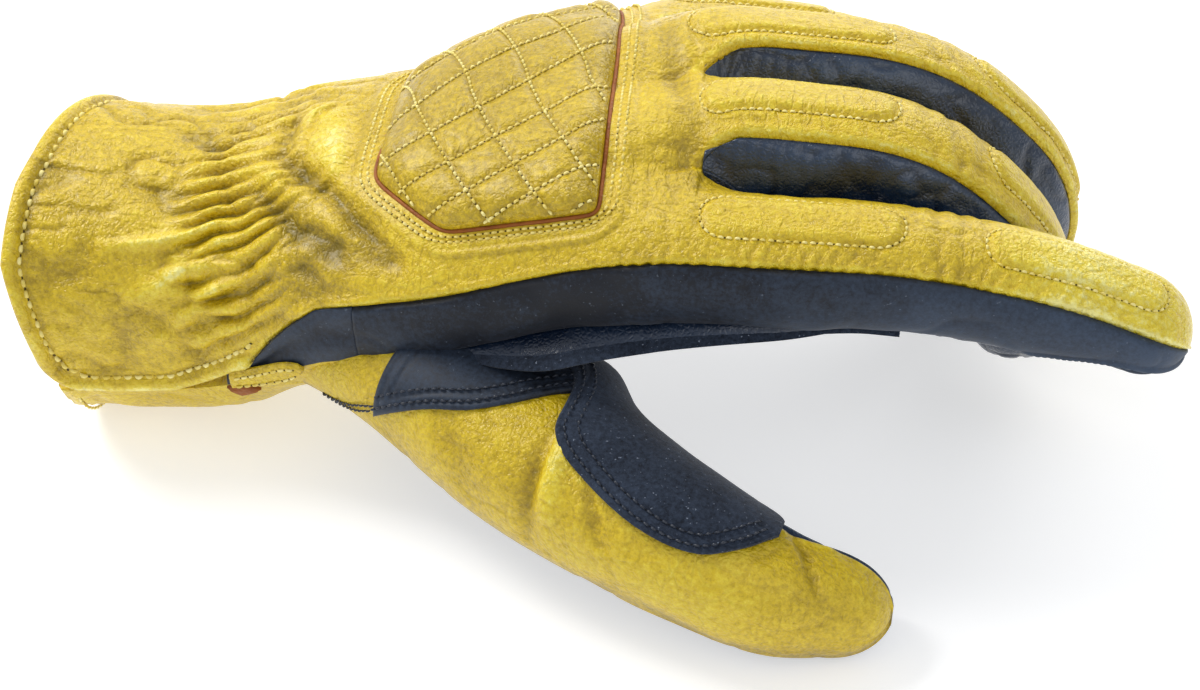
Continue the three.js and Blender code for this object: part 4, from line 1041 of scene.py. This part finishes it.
# Outlines on the thumb: share of its length, and the angles of the lower and the upper edge.
saddle_rows = np.array([[0.430, 130, 172], [0.493, 112, 172], [0.530, 79, 172], [0.597, 62, 172],
                        [0.685, 51, 172], [0.752, 55, 165], [0.792, 75, 150], [0.826, 100, 125]])
heel_rows = np.array([[0.282, 4, 137], [0.303, 14, 137], [0.360, 40, 137], [0.418, 62, 137],
                      [0.500, 108, 137], [0.520, 128, 137]])
for name, rows, lift, thick, cloth, slot, node in [
        ("thumb_heel", heel_rows, 0.9, 1.1, band_cloth, "black_leather", "heel_panel"),
        ("thumb_saddle", saddle_rows, 1.7, 1.3, speckled_suede, "black_suede", "thumb_patch")]:
    v, t = np.meshgrid(np.linspace(0, 1, 61), np.linspace(0, 1, 100))
    l = mix(rows[0, 0], rows[-1, 0], t) * thumb_run
    low, high = flowing(rows, l / thumb_run)
    degrees = mix(low, high, v)
    bare = thumb(l, degrees)
    border = np.minimum(np.minimum(v, 1 - v) * (high - low) * thumb_degree,
                        np.minimum(t, 1 - t) * (rows[-1, 0] - rows[0, 0]) * thumb_run)
    lift = lift + web(l, degrees)
    out = lift + 0.15 * ripple(bare, 9, 81) - 0.35 * bell(border / 0.5)
    out = out - 0.2 * (bell((border - 1.6) / 0.5) + bell((border - 3.8) / 0.5))
    under = thumb(l, degrees, thick - lift - 0.2)
    # the relief is also the colour's shade-and-wear value: painted shade along the raw edges and stitch lines
    # of the heel panel
    sheet(name, slot, node, cloth, (thumb(l, degrees, -out), under, False, out - lift, ~buried(bare)))


def reinforcement(i, u, past):
    """A patch of the suede on the palm, strip i: it stands 0.9 mm out and hangs with the palm's web."""
    rough = 0.2 * ripple(palm(i, u, past), 12, 85)
    top = palm(i, u, past, -(0.9 + rough) - root_web(i, u, past))
    return top, palm(i, u, past, 0.2), True, rough


patches = []
for i in range(4):
    u, t = np.meshgrid(np.linspace(0.03 if i == 0 else 0, 0.5 if i == 3 else 1, 31), np.linspace(0, 1, 121))
    begin = mix(0.02, 5 / 11, smooth((i + u - 0.5) / 0.9))
    past = mix(mix(palm_start - across(slit_ends, i + u), crotch, begin), crotch, t)
    patches.append(reinforcement(i, u, past))
u, t = np.meshgrid(np.linspace(0.03, 1, 31), np.linspace(0, 1, 46))
past = mix(crotch, crotch + 16, t)
u = np.minimum(u, 1 - 0.06 * smooth((past - crotch) / 4))
patches.append(reinforcement(0, u, past))
sheet("palm_reinforcement", "black_suede", "palm_patch", speckled_suede, *patches)


# Knuckle pad
# A foam cushion under golden cowhide, quilted in squares and sewn into the back with an orange cord
# of leather round its edge. The quilting pulls the hide down along every line of stitches.
quilt, quilt_slant, quilt_at = 10.0, np.radians(28.5), (0.369, 0.246)
# Millimetres to a radian over the pad's top, in which its squares are square.
quilt_radius = 44


def pad_lift(points):
    """Height of the pad at points of the flat measure, its shade-and-wear value there (painted shade along
    the lines of stitches), and their distance from its edge: it rises from the edge as 1 - exp(-distance /
    2.4), and its rounded squares fall as a bell to each line of stitches."""
    border = distance_to(points, pad_outline)
    a, b = points[..., 0], points[..., 1] * quilt_radius / flat_radius
    c, s = np.cos(quilt_slant), np.sin(quilt_slant)
    lines = np.minimum(np.abs(((a * c + b * s) / quilt + 0.5 - quilt_at[0]) % 1 - 0.5),
                       np.abs(((b * c - a * s) / quilt + 0.5 - quilt_at[1]) % 1 - 0.5)) * quilt
    dome = 3.0 * smooth(border / 16) * bell((points[..., 0] + 16) / 18) * bell((points[..., 1] - 16) / 20)
    drawn_in = 0.6 * bell(lines / 1.3) * smooth(border / 1.5)
    rise = 0.9 + 4.6 * (1 - np.exp(-border / 2.4)) + dome - drawn_in
    bare = over_back(*flat_place(points), 0.5)
    relief = 0.25 * ripple(bare, 10, 91) - 0.15 * creases(bare, 7, 0.15, 92)
    # painted shade along the lines of stitches and from the relief, random tone, and the pad darker overall
    shade_and_wear = -0.55 * bell(lines / 0.8) + 0.5 * relief + 0.25 * ripple(bare, 16, 93) - 0.7
    return rise + relief, shade_and_wear, border


r, t = np.meshgrid(np.linspace(0, 1, 112), np.arange(322), indexing="ij")
outline = np.concatenate([pad_outline, pad_outline[:2]])
flat = mix(pad_outline.mean(0), outline[t], (1 - (1 - r) ** 1.25)[..., None])
lift, shade_and_wear, border = pad_lift(flat)
place = flat_place(flat)
pad = sheet("quilted_pad", "yellow_leather", "knuckle_pad", yellow_leather,
            (over_back(*place, 0.5 + lift), over_back(*place, 0.3), False, shade_and_wear))


def orange_hide(wire):
    """Orange-brown split leather over a cord: matt, with small dark wrinkles across it."""
    place = wire.place()
    clouds = wire.noise(place, 300.0, 4.0)
    nicks = grained(wire, place, 0.0012)
    colour = ((clouds - 0.5) * 1.4 + 0.5).blend((0.19, 0.048, 0.007, 1), (0.42, 0.135, 0.018, 1))
    bump = wire.bump(nicks + clouds, 0.5, 0.0002)
    return {"Base Color": colour, "Roughness": (clouds - 0.5) * 0.3 + 0.6, "Normal": bump}


orange_leather = finish("orange_split_leather", orange_hide, {"Specular IOR Level": 0.4})
middle = pad_edge.mean(0)


def round_pad(away, lift):
    """The pad's outline moved outwards over the back by away, and lifted by lift, as a closed path with
    its directions along, up and out."""
    along = unit(np.roll(pad_edge, -2, 0) - np.roll(pad_edge, 2, 0))
    up = unit(over_back(*flat_place(pad_outline), 1.0) - pad_edge)
    out = np.cross(along, up)
    out *= np.sign((out * (pad_edge - middle)).sum(1, keepdims=True))
    path = pad_edge + out * away + up * lift
    for _ in range(4):
        path = (np.roll(path, 1, 0) + 2 * path + np.roll(path, -1, 0)) / 4
    return path, up, out


sunk = smooth((pad_outline[:, 1] + 15) / 8) * smooth((2 - pad_outline[:, 0]) / 10)
path, up, out = round_pad(0.4, 0.85 - 0.8 * sunk[:, None])
turn = np.linspace(0, 2 * np.pi, 13)[None, :, None]
thick = 0.46 + 0.05 * ripple(path, 3, 95)[:, None, None]
ring = path[:, None] + thick * (out[:, None] * np.cos(turn) + up[:, None] * np.sin(turn))
ring = np.concatenate([ring, ring[:1]])
ids = np.arange(len(path) * 12).reshape(-1, 12)
ids = np.concatenate([np.concatenate([ids, ids[:1]]), np.concatenate([ids[:, :1], ids[:1, :1]])], 1)
quads = np.stack([ids[:-1, :-1], ids[:-1, 1:], ids[1:, 1:], ids[1:, :-1]], -1).reshape(-1, 4)
piping = cut_out("orange_piping", ring[:-1, :-1].reshape(-1, 3), [(quads, True, 0)],
                 np.zeros(ids.max() + 1), [orange_leather])
dressed(piping, "orange_leather", "pad_piping")


# Wrist strap and side tab
# The strap's end is a doubled tongue of cowhide with a round end, sewn down over the wrist below the
# hem's corner. A small folded tab of orange leather sticks out under it.
tongue_start, tongue_long, tongue_row = -0.480 * hand_long, 17, [4.5, 6, 5.5, 4.5]
v, t = np.meshgrid(np.linspace(-1, 1, 31), np.linspace(0, 1, 46))
half = np.interp(t, [0, 0.7, 0.8, 0.9, 0.96, 1], tongue_row + [3, 0.6])
degrees = -12 - 3 * t + v * half
x = tongue_start + tongue_long * t
border = np.minimum((1 - np.abs(v)) * half * 0.5, (1 - t) * tongue_long)
out = 1.5 - 0.8 * bell(border / 0.6) - 0.2 * bell((border - 1.3) / 0.4)
# the relief is also the colour's shade-and-wear value: painted shade along the edge and the stitch groove
sheet("strap_end", "yellow_leather", "wrist_strap", yellow_leather,
      (hand(x, degrees, -out), hand(x, degrees, -0.3), True, out - 1.5))

v, t = np.meshgrid(np.linspace(0, 1, 19), np.linspace(0, 1, 22))
x, degrees = -0.490 * hand_long + 4.4 * t + 3.0 * v, mix(-15.5, -22, v)
out = 1.6 - 0.7 * bell(np.minimum(np.minimum(v, 1 - v) * 5, np.minimum(t, 1 - t) * 7) / 0.5)
sheet("orange_tab", "orange_leather", "side_tab", orange_leather,
      (hand(x, degrees, -out), hand(x, degrees, -0.3), True, out - 1.6))


# Stitches
# Every row is sewn in waxed thread: golden on the golden hide and black on the black. A stitch is a
# short bow of thread that dives into the hide at both ends, beside a dark disc of painted hole shade.
def yellow_thread(wire):
    """Pale golden thread: fine fibres along it and a slight change of tone from stitch to stitch."""
    place = wire.place()
    tone = wire.noise(place, 240.0, 2.0)
    fibres = wire.noise(place, 5200.0, 2.0)
    bump = wire.bump(fibres, 0.5, 0.0001)
    return {"Base Color": tone.between(0.3, 0.7).blend((0.74, 0.57, 0.09, 1), (0.95, 0.84, 0.34, 1)),
            "Roughness": (fibres - 0.5) * 0.3 + 0.5, "Normal": bump}


def black_thread(wire):
    """Black waxed thread with fine fibres and a soft shine."""
    place = wire.place()
    fibres = wire.noise(place, 5200.0, 2.0)
    bump = wire.bump(fibres, 0.5, 0.0001)
    return {"Base Color": fibres.blend((0.008, 0.010, 0.016, 1), (0.035, 0.045, 0.07, 1)),
            "Roughness": (fibres - 0.5) * 0.2 + 0.38, "Normal": bump}


def painted_hole_shade(dark, pale):
    """Painted shade of a needle's hole: a dark colour clouded between two colours of its hide's cut edge."""
    return lambda wire: {"Base Color": wire.noise(wire.place(), 900.0).blend(dark, pale)}


golden = finish("golden_thread", yellow_thread, {"Specular IOR Level": 0.4})
jet = finish("black_thread", black_thread, {"Specular IOR Level": 0.5})
# flat dark discs beside the stitches: painted shade of the needle holes
hole_shade = finish("hole_shade_disc", painted_hole_shade((0.03, 0.018, 0.002, 1), (0.12, 0.075, 0.008, 1)),
              {"Roughness": 0.95})
dark_hole_shade = finish("dark_hole_shade_disc", painted_hole_shade((0.0008, 0.001, 0.0015, 1), (0.004, 0.005, 0.008, 1)),
                   {"Roughness": 0.95})


def sewn(name, rows, thread, slot, pitch=2.0, radius=0.27):
    """Stitches along rows of points with their outward directions, one to a pitch. Each is a tube of six
    sides: with a from -1 to 1 along it, its thickness is the radius times the root of 1 - a to the
    fourth, and its height 0.3 - 0.4 a squared. Beside it lies a flat dark disc, painted shade standing for
    the needle's hole."""
    centres, alongs, ups = [], [], []
    for points, up in rows:
        run = np.concatenate([[0], np.cumsum(np.linalg.norm(np.diff(points, axis=0), axis=1))])
        count = max(int(run[-1] / pitch), 1)
        at = (np.arange(count) + 0.5) * run[-1] / count
        pick = lambda values, where: np.stack([np.interp(where, run, c) for c in values.T], -1)
        centres.append(pick(points, at))
        alongs.append(pick(points, at + 0.3) - pick(points, at - 0.3))
        ups.append(pick(up, at))
    centre, along, up = (np.concatenate(x) for x in (centres, alongs, ups))
    along = unit(along)
    up = unit(up - along * (up * along).sum(1, keepdims=True))
    aside = np.cross(along, up)
    a = np.array([-1, -0.86, -0.45, 0, 0.45, 0.86, 1])[:, None]
    turn = np.arange(6)[None] * np.pi / 3
    thick = radius * np.sqrt(np.clip(1 - a ** 4, 0, 1))
    ahead = a * 0.39 * pitch + 0 * turn
    rise = 0.30 - 0.40 * a * a + thick * np.sin(turn)
    wide = thick * 1.15 * np.cos(turn)
    bow = np.stack([ahead.ravel(), wide.ravel(), rise.ravel()], -1)
    turn = turn[0]
    disc = np.stack([0.5 * pitch + 0.8 * radius * np.cos(turn), 0.9 * radius * np.sin(turn),
                     0 * turn + 0.05], -1)
    local = np.concatenate([bow, disc])
    points = (centre[:, None] + local[None, :, :1] * along[:, None] + local[None, :, 1:2] * aside[:, None]
              + local[None, :, 2:] * up[:, None])
    # a stitch on the underside is pressed flat by the table
    points[..., 2] = np.maximum(points[..., 2], 0)
    ring = np.arange(42).reshape(7, 6)
    after = np.roll(ring, -1, 1)
    tube = np.stack([ring[:-1], ring[1:], after[1:], after[:-1]], -1).reshape(-1, 4)
    lid = np.array([[42, 43, 44, 45], [42, 45, 46, 47]])
    step = 48 * np.arange(len(centre))[:, None, None]
    tube, lid = (tube + step).reshape(-1, 4), (lid + step).reshape(-1, 4)
    stitches = cut_out(name, points.reshape(-1, 3), [(tube, True, 0), (lid, False, 1)],
                       np.zeros(48 * len(centre)), [thread, hole_shade if thread is golden else dark_hole_shade])
    return dressed(stitches, slot)


def on_back(i, u, past):
    """Points on the finished back and their outward directions."""
    points, out, _ = back_row(i, u, past)
    return points, back(i, u, past, -out - 1) - points


def strips(x, degrees):
    """Points on the finished back at x and an angle round the hand, whichever strip they are on."""
    w = place_across(x, degrees)
    points, up = np.zeros(w.shape + (3,)), np.zeros(w.shape + (3,))
    for i in range(4):
        on = np.clip(w.astype(int), 0, 3) == i
        if on.any():
            points[on], up[on] = on_back(i, w[on] - i, x[on] - across(slit_ends, w[on]))
    return points, up


rows = []
for finger_number, start, end, low, high in finger_pads:
    r = (high - low) * 13
    turn = np.linspace(-np.pi / 2, np.pi / 2, 16)
    lap = np.concatenate([np.stack([end - r + r * np.cos(turn), r * np.sin(turn)], -1),
                          np.stack([start + r - r * np.cos(turn), -r * np.sin(turn)], -1)])
    lap = np.concatenate([lap, lap[:1]])
    dense = np.interp(np.linspace(0, len(lap) - 1, 600), range(len(lap)), lap[:, 0])
    wide = np.interp(np.linspace(0, len(lap) - 1, 600), range(len(lap)), lap[:, 1])
    rows.append(on_back(finger_number, (low + high) / 2 + wide / 26, dense))
for away in (2.2, 3.7):
    path = moved_out(pad_outline, away, 8)
    rows.append(strips(*flat_place(np.concatenate([path, path[:1]]))))
sewn("golden_stitches", rows, golden, "yellow_leather", 1.55, 0.24)

# the hem's row turns the round corner and runs on along the lower edge
turn = np.linspace(0, np.pi / 2, 30)
u = np.concatenate([np.linspace(1, 0.4, 40, endpoint=False), 0.118 + 0.282 * (1 - np.sin(turn)),
                    np.full(60, 0.118)])
x = across(hem_line, u) + 3.9
x[40:70] += 9.3 * (1 - np.cos(turn))
x[70:] = np.linspace(x[69] + 0.3, -61, 60)
rows = [on_back(0, u, x - across(slit_ends, u))]
for i in (1, 2, 3):
    u = np.linspace(0, 0.95 if i == 3 else 1, 60)
    rows.append(on_back(i, u, hem_at(i + u) + 3.9 - across(slit_ends, i + u)))
sewn("hem_stitches", rows, golden, "yellow_leather", 2.2, 0.42)


def inside(points, outline):
    """Whether flat points lie inside a closed path: a ray from them crosses it an odd number of times."""
    x, y = points[:, None, 0], points[:, None, 1]
    after = np.roll(outline, -1, 0)
    crosses = (outline[:, 1] > y) != (after[:, 1] > y)
    slope = (after[:, 0] - outline[:, 0]) / (after[:, 1] - outline[:, 1] + 1e-12)
    return (crosses & (x < outline[:, 0] + (y - outline[:, 1]) * slope)).sum(1) % 2 == 1


rows = []
run = np.linspace(-90, 90, 700)
c, s = np.cos(quilt_slant), np.sin(quilt_slant)
for way in (0, 1):
    for k in range(-12, 13):
        # each line keeps one of the squares' two coordinates, in the pad's flat measure
        line = (k + quilt_at[way]) * quilt + 0 * run
        p, r = (run, line) if way else (line, run)
        flat = np.stack([p * c - r * s, (p * s + r * c) * flat_radius / quilt_radius], -1)
        flat = flat[inside(flat, pad_outline)]
        if len(flat) > 12:
            lift, _, border = pad_lift(flat)
            flat, lift = flat[border > 0.4], lift[border > 0.4]
        if len(flat) > 12:
            place = flat_place(flat)
            points = over_back(*place, 0.5 + lift)
            rows.append((points, over_back(*place, 1.5 + lift) - points))
sewn("quilting_stitches", rows, golden, "yellow_leather", 1.55, 0.25)

v = np.linspace(0.04, 0.96, 200)
x = cuff_start + 3.6 + 0 * v
_, far, near = seams_at(x)
points = hand(x, mix(near, far - 360, v), -0.2)
t = np.linspace(0.05, 0.88, 60)
half = np.interp(t, [0, 0.7, 0.8, 0.9], tongue_row) - 2.4
tongue = [hand(tongue_start + tongue_long * t, -12 - 3 * t + way * half, -1.35) for way in (-1, 1)]
rows = [(points, hand(x, mix(near, far - 360, v), -1.2) - points)]
rows += [(line, np.gradient(line, axis=0) * 0 + (0.1, -0.95, 0.3)) for line in tongue]
sewn("cuff_stitches", rows, golden, "yellow_leather", 2.0)


def round_patch(rows_of, lift, inset, from_share, to_share):
    """A row of stitches inset from the lower edge of a patch on the thumb, in the flat measure of
    length along the thumb and arc round it."""
    l = np.linspace(rows_of[0, 0], rows_of[-1, 0], 240) * thumb_run
    low, high = flowing(rows_of, l / thumb_run)
    path = np.stack([l, low * thumb_degree], -1)
    along = np.gradient(path, axis=0)
    path = path + unit(np.stack([-along[:, 1], along[:, 0]], -1)) * inset
    path = path[int(240 * from_share):int(240 * to_share)]
    l, degrees = path[:, 0], path[:, 1] / thumb_degree
    points = thumb(l, degrees, -lift - web(l, degrees))
    return points, thumb(l, degrees, -lift - 1 - web(l, degrees)) - points


rows = [round_patch(saddle_rows, 1.65, inset, 0.05, 0.98) for inset in (1.6, 3.8)]
rows += [round_patch(heel_rows, 0.85, inset, begin, 0.98) for inset, begin in ((1.6, 0.02), (3.8, 0.07))]
for shift in (0, 2.4):
    l, degrees = np.linspace(41, 22, 50) + shift * 0.4, np.linspace(6, -34, 50) + shift * 3.0
    points = thumb(l, degrees, -0.15)
    rows.append((points, thumb(l, degrees, -1.15) - points))
sewn("black_stitches", rows, jet, "black_leather", 1.7, 0.22)
